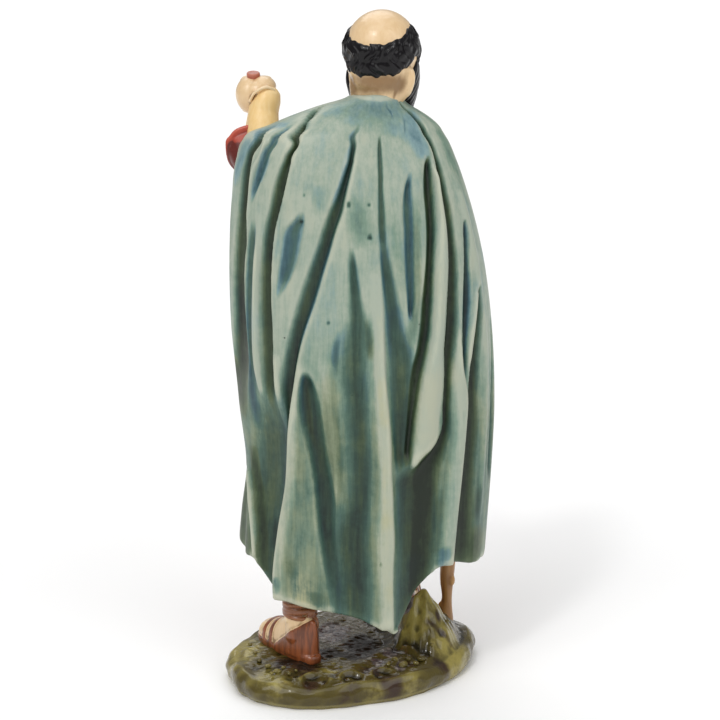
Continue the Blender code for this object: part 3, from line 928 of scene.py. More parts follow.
@dataclass(frozen=True)
class GroundPaint:
    """Olive and brown ground under thick gloss, with grey-violet rock."""

    olive: str = "4D431B"
    moss: str = "988C4A"
    brown: str = "38271A"
    dark: str = "14110A"
    rock: str = "453B3C"
    pale_rock: str = "857B74"

    def material(self) -> bpy.types.Material:
        """The ground's paint."""
        varnish = Varnish(
            roughness=0.3, spread=0.18, coat=0.6, coat_roughness=0.08, brush_depth=0.16, grain_depth=0.12, specular=0.12
        )
        paint = Paint("ground_paint", varnish)
        t, where = paint.table, paint.where
        hollow, stone, stain_and_shadow, light = (t.mark(name) for name in ("hollow", "stone", "stain_and_shadow", "light"))
        patches = t.noise(where, 95.0, 4.0, 0.65)
        fine = t.noise(where, 420.0, 4.0, 0.6)
        drift = t.times(t.minus(patches, 0.5), 1.3)
        drift = t.plus(drift, t.times(t.minus(fine, 0.5), 0.7))
        # Paler moss where the light mark is: paler paint, and painted sheen on the left rim
        tone = t.mix(t.rise(t.plus(light, drift), 0.25, 0.95), colour(self.olive), colour(self.moss))
        bare_rock = t.mix(t.rise(fine, 0.45, 0.62), colour(self.rock), colour(self.pale_rock))
        tone = t.mix(t.rise(t.plus(stone, drift), 0.42, 0.68), tone, bare_rock)
        # Brown stains, and some painted shadow under the heel and the cloak
        tone = t.mix(t.rise(t.plus(stain_and_shadow, drift), 0.3, 0.85), tone, colour(self.brown))
        tone = t.mix(t.times(t.rise(t.times(hollow, -1.0), 0.2, 0.9), 0.5), tone, colour(self.moss))
        # The dark wash also lays the painted shadow under the cloak and the heel
        tone = t.mix(t.times(paint.wash(hollow, 0.0, 0.5, 0.5, 420.0), 0.85), tone, colour(self.dark))
        material = paint.finish(tone)
        # Less gloss where the ground lies in painted shadow
        gloss = t.times(t.minus(1.0, t.mark("painted_shadow")), varnish.coat)
        t.feed(paint.shader.inputs["Coat Weight"], gloss)
        return material


SKIN = WashedPaint("skin_paint", "DFBE91", "77521F", "F4DCB4", Varnish(roughness=0.3, coat=0.35, pit_amount=0.02))
SLEEVE = WashedPaint("ochre_sleeve_paint", "ECC787", "946435", "FBE5B6", Varnish(roughness=0.42, pit_amount=0.02))
TUNIC = WashedPaint("red_tunic_paint", "A23A28", "4A130F", "C9604A", Varnish(roughness=0.4, pit_amount=0.05))
SASH = WashedPaint("sash_paint", "C9A25A", "5A3416", "E2C88C", Varnish(roughness=0.42, pit_amount=0.03))
HAIR_GLOSS = Varnish(
    roughness=0.3, coat=0.5, coat_roughness=0.1, brush_depth=0.015, grain_depth=0.0, pit_amount=0.0, specular=0.04
)
HAIR = WashedPaint("hair_paint", "0D0B0D", "040405", "1F1C22", HAIR_GLOSS)
ROD = WashedPaint("rod_paint", "A5543F", "4E1D14", "CC8468", Varnish(roughness=0.36, coat=0.2, pit_amount=0.03))
LEATHER = WashedPaint("leather_paint", "804B2D", "32180E", "AE7448", Varnish(roughness=0.3, coat=0.4, pit_amount=0.02))
WOOD_GLOSS = Varnish(roughness=0.34, coat=0.3, brush_depth=0.12, pit_amount=0.03)
WOOD = WashedPaint("wood_paint", "93683A", "48290F", "C09252", WOOD_GLOSS)


def dress(piece: Piece, material: bpy.types.Material) -> Piece:
    """Paints a piece and ties it to the casting that it stands for.

    Args:
        piece: The piece.
        material: Its paint.

    Returns:
        The piece.
    """
    piece.data.materials.clear()
    piece.data.materials.append(material)
    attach(piece, "root")
    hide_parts(CASTING_NODE)
    LOG.info("%s: %d points", piece.name, len(piece.data.vertices))
    return piece


# The cloak


class Edge(Enum):
    """How a band's sides meet the cloth beside them."""

    CRISP = 1.0
    SOFT = 0.0


class Tint(Enum):
    """Where a dye stands between olive and blue."""

    OLIVE = 0.0
    MOSS = 0.25
    TEAL = 0.5
    SEA = 0.75
    BLUE = 1.0


@dataclass(frozen=True)
class Band:
    """A furrow, a ridge (negative depth) or a plain brush stroke (no depth) that runs down the cloak.

    Each row of its table is a height and the two angles between which it lies there, counted from the middle of
    the back towards the figure's left.
    """

    table: Knots
    depth: float = 0.0
    dye_and_shade: float = 0.0
    tint: Tint = Tint.TEAL
    edge: Edge = Edge.CRISP
    deepest: float = 0.5
    start: float = 0.12
    end: float = 0.18
    cream: float = 0.0

    def across(self, angle: Points, height: Points) -> tuple[Points, Points]:
        """Where points lie in the band.

        Args:
            angle: Angles in degrees.
            height: Heights.

        Returns:
            The share of its width from the first angle, and how much of it is left at its ends.
        """
        rows = np.array(sorted(self.table), float)
        first = smooth_curve(height, rows[:, 0], rows[:, 1])
        second = smooth_curve(height, rows[:, 0], rows[:, 2])
        t = (rows[-1, 0] - height) / (rows[-1, 0] - rows[0, 0])
        along = ease(t, 0, self.start) * (1 - ease(t, 1 - self.end, 1.001))
        along = np.where((t < 0) | (t > 1), 0, along)
        return (angle - first) / np.maximum(second - first, 0.4), along

    def relief(self, share: Points, along: Points) -> Points:
        """Its depth as a share of the full one, with a soft slope beyond its sides.

        Args:
            share: Share of its width.
            along: How much is left at its ends.

        Returns:
            The share of the depth.
        """
        to_deepest = np.where(share < self.deepest, share / self.deepest, (1 - share) / (1 - self.deepest))
        core = np.clip(to_deepest, 0, 1)
        crisp = 1 - (1 - core) ** 2.2
        soft = core * core * (3 - 2 * core)
        skirt = ease(to_deepest, -0.9, 1.0)
        kind = self.edge.value
        return (0.78 * (crisp * kind + soft * (1 - kind)) + 0.22 * skirt) * along

    def paint(self, share: Points, along: Points) -> Points:
        """How fully its dye covers the cloth.

        Args:
            share: Share of its width.
            along: How much is left at its ends.

        Returns:
            The cover, from 0 to 1.
        """
        to_deepest = np.where(share < self.deepest, share / self.deepest, (1 - share) / (1 - self.deepest))
        full = 0.55 if self.edge is Edge.CRISP else 0.95
        return ease(to_deepest, -0.06, full) * np.sqrt(np.clip(along, 0, 1))


FURROWS = (
    # From the figure's left shoulder, outermost first
    Band(((168, 69.1, 84.9), (165, 53.3, 63.9), (163, 53.4, 64.7), (160, 57.2, 66.4), (155, 57.5, 67.3),
          (150, 57.5, 68), (140, 58, 70), (135, 57.5, 72), (130, 59, 73), (120, 60, 75), (110, 60, 76),
          (100, 60, 82), (90, 64, 86), (80, 66, 80)), 2.0, 0.92, Tint.OLIVE, deepest=0.45, start=0.04, end=0.25),
    Band(((168.5, 48.6, 52.7), (165, 40.5, 47.1), (160, 43, 50.5), (155, 45.6, 53), (150, 50, 55), (146, 53, 55)),
         1.4, 0.56, Tint.SEA, deepest=0.6, end=0.3),
    Band(((142, 48.5, 54), (136, 50, 57), (130, 51, 58), (120, 53, 60), (110, 54.5, 61), (100, 55.5, 61),
          (88, 53, 60)), 0.9, 0.62, Tint.TEAL, end=0.3),
    Band(((174.5, 86.4, 86.4), (172.3, 57.5, 66.6), (170.3, 42.8, 48.6), (169.3, 40.4, 45.2), (168.3, 36.4, 42.8),
          (167, 31.3, 38.8), (164, 26, 30.6), (160, 28.8, 33.3), (157, 29.6, 35.7), (150, 32.5, 40), (145, 35, 42),
          (140, 37.5, 44.5), (130, 40, 47.5), (120, 41, 49), (110, 41, 50), (100, 42, 50.5), (90, 42.5, 50),
          (83, 41, 48)), 2.4, 0.86, Tint.OLIVE, deepest=0.3, start=0.02, end=0.2),
    Band(((145, 21, 24.5), (142, 21.5, 28), (140, 22, 31.5), (135, 24, 34), (130, 26, 36), (125, 30, 37.5),
          (119.5, 36, 38)), 1.5, 0.6, Tint.SEA, deepest=0.65, start=0.15, end=0.3),
    Band(((170, -2, 1.2), (167, -4.7, -1.3), (164, -6.3, -2.7), (160, -4.7, -1.7), (155, -1.9, 2.1), (150, 1, 6),
          (145, 3.5, 10.5), (140, 7, 14), (135, 10, 17), (130, 13, 20.5), (120, 18.5, 27), (110, 25, 32.5),
          (100, 30, 37), (95, 32, 38.5), (90, 33.8, 39), (85, 35.5, 38.5), (77, 38, 39.5)), 2.3, 0.82, Tint.MOSS,
         deepest=0.32, start=0.12, end=0.06),
    # The middle of the back
    Band(((136, 0, 2.5), (130, -1, 4), (120, -2.5, 5.5), (115, -4, 7), (110, -5, 10), (100, -4.5, 14), (90, -3, 12),
          (80, -3, 11.5), (70, -3, 11.5), (60, -3.5, 13), (50, -3.5, 18), (40, -6, 16.5), (22, -7, 14)), 1.5, 0.7,
         Tint.TEAL, Edge.SOFT, deepest=0.4, start=0.06, end=0.01),
    Band(((99.5, 24, 27), (96, 22, 29), (93, 20.5, 30.3), (85, 19, 30.5), (80, 18.5, 29), (70, 17, 26.5),
          (60, 14, 24), (50, 12, 20.5), (40, 9, 17), (24, 6, 14)), 2.3, 0.72, Tint.TEAL, deepest=0.7, start=0.05,
         end=0.35),
    Band(((166, -20.8, -19.2), (160, -19.7, -16.9), (155, -18.5, -15.5), (150, -17, -14), (145, -16.5, -12.5),
          (140, -15.5, -11.5), (133, -15, -11)), 0.8, 0.72, Tint.MOSS, start=0.08, end=0.15),
    Band(((142, -14.5, -12), (135, -15.5, -11), (125, -17, -10.5), (115, -19, -10.5), (110, -20.5, -10),
          (105, -23, -10), (95, -22, -10), (85, -20, -10.5), (75, -17.5, -11), (68, -16, -12)), 1.7, 0.72,
         Tint.TEAL, deepest=0.6, start=0.2, end=0.1),
    Band(((156, -34.8, -32.8), (150, -32, -27), (145, -31, -24.5), (140, -29.5, -23.5), (130, -27, -21.5),
          (120, -25, -21), (113.5, -22.5, -21)), 1.6, 0.66, Tint.SEA, deepest=0.4, start=0.1, end=0.08),
    Band(((160, -50.4, -47.2), (157, -49.2, -43.5), (150, -45.5, -38.5), (145, -43.5, -37), (140, -41.5, -35.5),
          (130, -37, -32), (120, -34, -28), (110, -31, -25), (105, -29, -23), (100, -26.5, -20), (90, -22.7, -17.5),
          (80, -20, -16), (71, -18.5, -14)), 2.0, 1.0, Tint.OLIVE, deepest=0.28, start=0.03, end=0.06),
    Band(((176, -61.2, -56.1), (172, -60.5, -51.9), (167, -56.5, -50.9), (165, -58, -52.7), (160, -58, -53.7),
          (155, -57.7, -51.9), (150, -56.3, -50), (145, -56, -49), (140, -54.5, -48), (130, -52, -45),
          (120, -49, -41.5), (110, -46.5, -38.5), (105, -44, -37), (100, -41.8, -36.5), (90, -39.8, -35),
          (80, -38.7, -33), (76, -37.5, -29), (70, -35, -20), (60, -34, -21), (50, -34, -21), (30, -34, -21)), 2.1,
         0.98, Tint.OLIVE, deepest=0.62, start=0.03, end=0.01),
    Band(((73, -26, -11.5), (66, -27, -11), (56, -28, -12.5), (45, -30, -14), (22, -31, -14)), 3.0, 0.7, Tint.TEAL,
         deepest=0.4, start=0.15, end=0.01),
    Band(((141.5, -66, -63.5), (138, -66, -61), (130, -61.8, -56.5), (120, -59, -51.8), (110, -54.2, -49),
          (105, -51.7, -48.3), (95, -49.8, -47.8)), 1.5, 0.92, Tint.TEAL, deepest=0.4, start=0.05, end=0.15),
    Band(((122.5, -69, -66.5), (115, -69, -62), (110, -66, -59), (100, -62, -53.5), (90, -60, -50.3),
          (80, -60, -49), (70, -58.5, -47.3), (60, -58, -46.3), (50, -60, -46), (36, -61, -45)), 2.1, 0.92,
         Tint.OLIVE, deepest=0.7, start=0.05, end=0.01),
    Band(((112, -84, -80), (86, -80, -73), (60, -82, -75)), 1.4, 0.6),
    # Down the figure's left side
    Band(((96, 40, 50), (88, 36, 58), (80, 37.5, 62), (70, 40, 68), (63, 41, 70), (56, 42.3, 65), (50, 43, 60.5),
          (40, 44, 57), (28, 45.5, 56)), 2.9, 0.5, Tint.TEAL, deepest=0.2, start=0.3, end=0.01),
    Band(((66, 80, 92), (54, 70, 88), (36, 66, 86)), 1.2, 0.35, Tint.OLIVE, Edge.SOFT, end=0.02),
    Band(((152, 85, 91), (120, 87, 93), (90, 86, 92)), 1.4, 0.6, Tint.MOSS),
    # Round the front edges
    Band(((150, -102, -95), (100, -100, -92), (52, -101, -93)), 2.0, 0.7, end=0.05),
    Band(((156, 95, 102), (100, 97, 104), (42, 94, 102)), 2.2, 0.7, end=0.05),
    # Short creases under the collar
    Band(((175, -27.6, -24.9), (171.5, -31.3, -28.3), (169, -25.6, -23.4)), 0.4, 0.45, Tint.BLUE, Edge.SOFT,
         start=0.3, end=0.6),
    Band(((172, -45.2, -41.4), (168, -37.9, -35.5), (163, -41.2, -38.1)), 0.4, 0.4, Tint.BLUE, Edge.SOFT,
         start=0.3, end=0.6),
)

RIDGES = (
    Band(((102, 24, 29.5), (95, 27, 32), (90, 29, 33.8), (85, 30.5, 35.5), (80, 31, 37.3), (70, 33, 39.8),
          (60, 34, 41.5), (50, 35, 42.8), (40, 36, 44), (28, 37, 45.5)), -1.3, -0.25, deepest=0.8, start=0.2,
         end=0.02),
    Band(((104, 12, 20), (90, 12.5, 19), (75, 12, 18), (58, 12, 16)), -0.6, -0.2, edge=Edge.SOFT),
    Band(((130, -11, -4), (110, -10, -5), (100, -9.5, -4), (90, -10, -3), (80, -10.5, -3), (70, -10.5, -3.5),
          (60, -12, -4), (50, -14, -4), (40, -14.3, -6), (22, -15, -7)), -1.5, -0.35, deepest=0.25, start=0.3,
         end=0.01, cream=0.5),
    Band(((158, -52.5, -49.4), (150, -50, -45.5), (140, -48, -41.7), (130, -45, -37), (120, -41.3, -34),
          (110, -38.3, -31), (105, -37, -29), (100, -36.5, -26.6), (90, -35, -22.8), (85, -34, -21.3),
          (80, -33, -20), (77, -31, -19), (74, -25.5, -18.5), (70, -19.5, -18)), -1.7, -0.4, deepest=0.6,
         start=0.06, end=0.02, cream=0.25),
    Band(((112, -48.5, -46), (100, -47, -42), (90, -50, -39.8), (80, -48.5, -39), (70, -47.2, -37),
          (60, -46.3, -36.5), (50, -46, -36), (36, -45.5, -35)), -1.3, -0.35, deepest=0.25, start=0.15, end=0.02),
    Band(((168, 56.6, 67.1), (163, 47, 52.3), (156, 52.6, 56.6), (148, 54, 58), (138, 56, 58)), -0.7, -0.2,
         edge=Edge.SOFT),
    Band(((146, 45, 51), (135, 47, 50.5), (130, 47.8, 51.5), (120, 49, 53), (110, 50, 54.5), (100, 50.5, 55.5),
          (88, 50, 53)), -1.0, -0.5, start=0.3),
    Band(((104, 37, 42), (95, 38.7, 42.5), (90, 39, 42.7), (80, 38.5, 41)), -0.8, -0.3),
    Band(((122, -66, -62.5), (115, -62, -59), (110, -59, -55), (105, -56, -52), (98, -52.5, -49.5)), -0.7, -0.25),
    Band(((160, -74.8, -60.7), (130, -72, -63), (100, -72, -62), (80, -70, -60), (45, -70, -61)), -0.7, -0.15,
         edge=Edge.SOFT),
    Band(((66, 71, 78), (63, 69, 75), (56.5, 63.5, 69), (50.7, 59.5, 64), (45, 57, 61), (40, 55, 59)), -1.2, -0.4,
         start=0.1, end=0.02),
)


def stroke(rows: Knots, dye_and_shade: float, tint: Tint, start: float = 0.12, end: float = 0.18, cream: float = 0.0) -> Band:
    """A soft brush stroke that leaves the cloth's shape alone."""
    return Band(rows, 0.0, dye_and_shade, tint, Edge.SOFT, start=start, end=end, cream=cream)


STROKES = (
    # Blue over the nape, down to where the folds start
    stroke(((182, -99, 99), (176, -90, 86.4), (173, -86.4, 86.4), (170, -74.6, 36.5), (168, -55.1, 6),
            (165, -49.8, -15.1)), 0.34, Tint.SEA, 0.01, 0.3),
    stroke(((172, -71, -36.5), (168, -57.7, -23.9), (164, -56, -31.9), (158, -51.5, -39.1)), 0.34, Tint.BLUE, 0.1,
           0.3),
    stroke(((169, 48.2, 84.9), (166, 48.3, 84.9), (160, 62.3, 81.4), (150, 68, 84)), 0.36, Tint.BLUE, 0.1, 0.3),
    stroke(((168, -4.4, 1.3), (164, -6.8, -1.6), (160, -4.7, 1.4), (152, -0.3, 5.8), (146, 5, 11)), 0.42, Tint.BLUE,
           0.1),
    stroke(((153, 8.7, 19.7), (148, 8, 20), (144, 8, 16)), 0.26, Tint.SEA, 0.4, 0.4),
    stroke(((150, 30, 35), (145, 32, 37), (138, 35, 38)), 0.45, Tint.SEA, 0.4, 0.4),
    stroke(((150, -10, 4), (142, -12, 5), (134, -10, 4)), 0.3, Tint.TEAL, 0.4, 0.4),
    stroke(((148, -24, -17), (130, -23, -15), (116, -22, -16)), 0.24, Tint.TEAL, 0.4, 0.4),
    stroke(((150, -37, -30), (135, -32, -26), (118, -28, -22), (104, -24, -14)), 0.42, Tint.MOSS, 0.3, 0.3),
    # A greyer green over both shoulders
    stroke(((176, -88, -70), (166, -86, -64), (156, -84, -60), (144, -80, -62)), 0.3, Tint.TEAL, 0.2, 0.4),
    stroke(((150, 72, 88), (130, 76, 90), (110, 78, 92)), 0.34, Tint.MOSS, 0.3, 0.4),
    # Right-hand edges of the long furrows
    stroke(((140, 6.5, 10), (130, 12.5, 16), (120, 18, 22), (110, 24, 28), (104, 27.5, 31)), 0.78, Tint.BLUE, 0.2),
    stroke(((160, 40, 47), (152, 45.6, 50.6)), 0.36, Tint.BLUE, 0.3),
    # Dark heart of the middle and of the arch
    stroke(((132, 0.5, 3.5), (118, -1, 5), (104, 0, 7), (94, 1, 7), (80, 0, 7), (64, -1, 6)), 0.88, Tint.TEAL, 0.1,
           0.5),
    stroke(((116, -5, 0), (108, -6, 0), (102, -5, 0)), 0.74, Tint.MOSS, 0.4, 0.4),
    stroke(((112, 7, 11), (104, 9, 14), (97, 10, 14)), 0.7, Tint.SEA, 0.4, 0.4),
    stroke(((66, -2, 6), (54, -3, 8), (40, -5, 8), (24, -6, 6)), 0.86, Tint.TEAL, 0.4, 0.3),
    stroke(((97, 25, 29), (90, 24.5, 29.5), (82, 24, 29), (74, 22, 27)), 0.92, Tint.OLIVE, 0.2, 0.4),
    stroke(((94, 20, 24), (82, 19, 23), (70, 18, 22), (56, 15, 20)), 0.66, Tint.TEAL, 0.3, 0.4),
    stroke(((60, 11, 22), (50, 9, 20), (36, 6, 17), (24, 5, 14)), 0.62, Tint.SEA, 0.4, 0.02),
    stroke(((104, 10, 18), (88, 11, 20), (72, 11, 18), (58, 11, 16)), 0.32, Tint.MOSS, 0.3, 0.4),
    # Painted shade under the end of the tongue, and the darkest cloth beside the stick
    stroke(((76, -33, -22), (70, -34, -18), (60, -33, -19.5), (50, -32, -20), (42, -31, -20)), 1.2, Tint.OLIVE,
           0.15, 0.25),
    stroke(((47, -33, -19), (43, -34, -18), (36, -33, -18)), 0.68, Tint.BLUE, 0.4, 0.02),
    stroke(((64, -38, -29), (54, -37, -29), (44, -37, -28)), 0.6, Tint.TEAL, 0.3, 0.05),
    stroke(((100, -41, -37), (88, -39.5, -35), (78, -39, -33)), 0.85, Tint.TEAL),
    stroke(((80, -54, -48.5), (66, -54, -47), (54, -53, -46.5), (40, -53, -46)), 1.05, Tint.OLIVE, 0.3, 0.05),
    stroke(((62, -66, -58), (56, -67, -57), (51, -66, -57)), 0.72, Tint.TEAL, 0.3, 0.3),
    stroke(((50, -74, -48), (45, -76, -48), (38, -76, -48)), 0.66, Tint.MOSS, 0.5, 0.02),
    stroke(((46, -43, -34), (43, -43.5, -34), (39, -43, -35)), 0.62, Tint.BLUE, 0.3, 0.3),
    # The figure's left side
    stroke(((74, 62, 72), (66, 62, 71), (58, 56, 66), (50, 52, 60), (36, 50, 57)), 1.0, Tint.OLIVE, 0.2, 0.02),
    stroke(((56, 42, 52), (50, 43, 54), (42, 43, 53)), 0.92, Tint.SEA, 0.4, 0.2),
    stroke(((104, 56, 66), (92, 54, 66), (78, 52, 64)), 0.74, Tint.BLUE, 0.3, 0.4),
    stroke(((100, 76, 94), (90, 66, 94), (82, 64, 88)), 0.95, Tint.OLIVE, 0.4, 0.4),
    stroke(((64, 70, 110), (52, 62, 110), (38, 60, 108)), 0.52, Tint.OLIVE, 0.4, 0.02),
    stroke(((49, 60, 86), (45, 58, 86), (40, 58, 84)), 0.74, Tint.OLIVE, 0.4, 0.02),
    # Cream and smudges on the broad pleat low on the left
    stroke(((47, 14, 42), (36, 13, 43), (24, 12, 44)), 0, Tint.OLIVE, 0.7, 0.02, cream=0.95),
    stroke(((43, 30, 38), (39, 29, 38), (36, 30, 37)), 0.46, Tint.TEAL, 0.4, 0.5),
    stroke(((34, 15, 26), (31, 14, 27), (28, 15, 26)), 0.58, Tint.TEAL, 0.4, 0.3),
    stroke(((36.5, 39, 46), (34.5, 38, 47), (31, 40, 46)), 0.78, Tint.BLUE, 0.2, 0.1),
)

SPOTS = (
    (0.5, 147, 1.0), (-9, 147, 0.7), (-7.5, 138, 1.0), (24, 142, 1.1), (-31, 120, 0.9), (-8, 43, 0.7),
    (-23.5, 96, 0.8), (21.5, 149.5, 0.5), (13.5, 113.5, 0.7), (30.5, 158.5, 0.8),
)


@dataclass
class Cloak:
    """The long cloak that hangs from the shoulders, thick at its hem and filled behind the body."""

    thickness: float = 2.4
    columns: int = 399
    rows: int = 189
    back_share: float = 0.88
    back_angle: float = 96.0
    back_radius: float = 38
    filled_above: float = 66.0
    hollow_below: float = 44.0
    lining_y: float = -1.0
    reach: Knots = (
        (176.6, 2.4, -10.6, 8.6, -9.0), (175.2, 5.2, -12.4, 9.2, -9.6), (173.6, 11.0, -14.4, 10.0, -10.4),
        (172.0, 15.8, -17.2, 10.8, -11.2), (170.0, 21.2, -20.3, 12.0, -12.2), (167.4, 27.4, -23.2, 13.2, -14.0),
        (165.8, 32.0, -24.2, 14.0, -15.0), (163.4, 34.3, -25.7, 15.0, -16.0), (158.0, 36.2, -28.1, 17.0, -17.0),
        (146.0, 37.9, -32.3, 20.0, -18.5), (131.0, 38.8, -36.2, 22.3, -20.0), (110.0, 38.7, -39.3, 24.4, -21.0),
        (85.0, 36.6, -40.6, 25.6, -21.0), (66.0, 34.9, -40.0, 26.0, -20.0), (50.0, 36.6, -39.2, 26.6, -19.0),
        (38.0, 37.4, -38.6, 27.2, -18.5), (18.0, 35.0, -37.0, 27.5, -18.0),
    )
    hem: Knots = (
        (-125, 66), (-112, 60), (-99, 55), (-90, 41), (-72, 38), (-47, 40), (-36, 40), (-28, 34.4), (-20.5, 26),
        (-15.5, 21.6), (-10, 22.6), (-5, 24), (3, 26), (14, 28), (24, 28.5), (37, 29.5), (49, 31.5), (57, 39),
        (70, 40), (90, 42), (104, 45), (112, 51), (125, 60),
    )
    front_edge: Knots = (
        (178, 150, 150), (172, 146, 144), (166, 136, 130), (158, 124, 122), (140, 116, 117), (100, 112, 116),
        (60, 110, 114), (30, 108, 112),
    )

    def surface(self, angle: Points, height: Points) -> Points:
        """The cloak's outer surface before it is folded.

        Args:
            angle: Angles in degrees from the middle of the back.
            height: Heights.

        Returns:
            The points.
        """
        left, right, back, front = (station(self.reach, height, k) for k in (1, 2, 3, 4))
        turn = np.radians(angle)
        middle_y = np.minimum(-1.0, 0.3 * front + 4.0)
        deep = np.where(np.abs(angle) < 90, back - middle_y, middle_y - front)
        wide = (left - right) / 2
        return np.stack([(left + right) / 2 + wide * np.sin(turn), middle_y + deep * np.cos(turn), height], axis=-1)

    def layout(self) -> tuple[Points, Points]:
        """Angles and heights of the grid, whose last row is the hem."""
        down = np.linspace(0, 1, self.rows)[:, None] ** 1.15
        shares = np.linspace(-1, 1, self.columns)[None, :]
        side = np.abs(shares)
        top = self.reach[0][0]
        height = top - down * (top - 30) + 0 * shares
        hem = np.array(self.hem, float)
        for _ in range(4):
            right_edge, left_edge = (station(self.front_edge, height, k) for k in (1, 2))
            limit = np.where(shares < 0, right_edge, left_edge)
            over = (side - self.back_share) / (1 - self.back_share)
            behind = side / self.back_share * self.back_angle
            angle = np.where(over < 0, behind, self.back_angle + over * (limit - self.back_angle))
            angle = np.sign(shares) * angle
            height = top - down * (top - smooth_curve(angle, hem[:, 0], hem[:, 1]))
        return angle, height

    def relief(self, angle: Points, height: Points) -> Points:
        """How far the folds sink into the cloak.

        Args:
            angle: Angles in degrees.
            height: Heights.

        Returns:
            Depths in millimetres, less than 0 on ridges.
        """
        furrows = [band.depth * band.relief(*band.across(angle, height)) for band in FURROWS]
        ridges = [-band.depth * band.relief(*band.across(angle, height)) for band in RIDGES]
        sink = sum(depth**3 for depth in furrows) ** (1 / 3)
        rise = sum(depth**3 for depth in ridges) ** (1 / 3)
        hang = 0.22 * np.sin(np.radians(angle) * 9 + 1.5 * np.sin(height * 0.05)) * ease(-height, -150, -60)
        return sink - rise * np.clip(1 - 0.35 * sink, 0.2, 1) + hang

    def paint_marks(self, angle: Points, height: Points) -> tuple[Points, Points, Points]:
        """Where the painter put how much colour, and where painted shade darkens the cloth.

        Args:
            angle: Angles in degrees.
            height: Heights.

        Returns:
            The strength of the colour and painted shade, its tint from olive to blue, and the cream.
        """
        dye_and_shade, cream = np.zeros_like(height), np.zeros_like(height)
        tinted, weight = np.full_like(height, 0.5 * 0.05), np.full_like(height, 0.05)
        for band in (*FURROWS, *STROKES):
            share, along = band.across(angle, height)
            cover = band.paint(share, along)
            dye_and_shade = np.maximum(dye_and_shade, band.dye_and_shade * cover)
            cream = np.maximum(cream, band.cream * cover)
            rim = 0.35 * (1 - ease(np.minimum(share, 1 - share), 0.1, 0.42)) if band.depth else 0.0
            tinted += cover**2 * band.dye_and_shade * np.minimum(band.tint.value + rim, 1)
            weight += cover**2 * band.dye_and_shade
        for band in RIDGES:
            cover = band.paint(*band.across(angle, height))
            dye_and_shade = dye_and_shade + band.dye_and_shade * cover * (1 - 0.6 * np.clip(dye_and_shade, 0, 1))
            cream = np.maximum(cream, band.cream * cover)
        return dye_and_shade, tinted / weight, cream

    def spots(self, angle: Points, height: Points) -> Points:
        """Small pits left by bubbles in the casting.

        Args:
            angle: Angles in degrees.
            height: Heights.

        Returns:
            Their depths in millimetres.
        """
        scale = self.back_radius * math.pi / 180
        return sum(
            0.7 * size * np.exp(-((np.hypot((angle - at) * scale * 0.75, height - level) / (0.62 * size)) ** 4))
            for at, level, size in SPOTS
        )

    def build(self) -> Piece:
        """Makes the cloak's shell.

        Returns:
            The piece, with its dye, blue, cream and hollow marks.
        """
        angle, height = self.layout()
        plain = self.surface(angle, height)
        normal = np.cross(np.gradient(plain, axis=0), np.gradient(plain, axis=1))
        normal /= np.linalg.norm(normal, axis=-1, keepdims=True) + 1e-9
        normal *= np.sign(np.sum(normal * (plain * (1, 1, 0)), axis=-1).sum())
        pits = self.spots(angle, height)
        outer = plain - normal * (self.relief(angle, height) + 0.55 * pits)[..., None]
        inner = outer - normal * self.thickness
        filled = ease(height, self.hollow_below, self.filled_above)
        near_edge = ease(np.abs(np.linspace(-1, 1, self.columns))[None, :], 0.9, 0.995)
        lining = self.lining_y + 0.55 * (outer[..., 1] - self.lining_y) * near_edge
        inner[..., 1] = inner[..., 1] * (1 - filled) + np.minimum(inner[..., 1], lining) * filled
        piece = closed_shell("cloak", outer, inner[::2, ::2], 0.9)
        dye_and_shade, tint, cream = self.paint_marks(angle, height)
        # The blurred copy adds painted shade as soft halos round the folds; the cloth is also darker and more olive low
        # down
        low = ease(-height, -118, -72)
        darker_low_down = 0.35 * low + 0.06
        tint = np.clip(tint - 0.22 * low, 0, 1)
        dye_and_shade = (0.68 * dye_and_shade + 0.4 * spread_out(dye_and_shade, 11)) * (1 + 0.05 * low) + darker_low_down * (1 - np.clip(dye_and_shade, 0, 1))
        dye_and_shade = np.maximum(dye_and_shade, 1.3 * pits)
        rim = border(np.arange(dye_and_shade.size).reshape(dye_and_shade.shape))
        for name, values, within in (("dye_and_shade", dye_and_shade, 0.5), ("blue", tint, 0.5), ("cream", cream, 0.0)):
            lining_marks = np.full(inner[::2, ::2].shape[0] * inner[::2, ::2].shape[1], within)
            mark(piece, name, np.concatenate([values.ravel(), lining_marks, *[values.ravel()[rim]] * 3]))
        mark_hollows(piece, 26, 0.55)
        return piece

    def dress(self) -> Piece:
        """Builds and paints the cloak."""
        return dress(self.build(), CloakPaint().material())


# The tunic


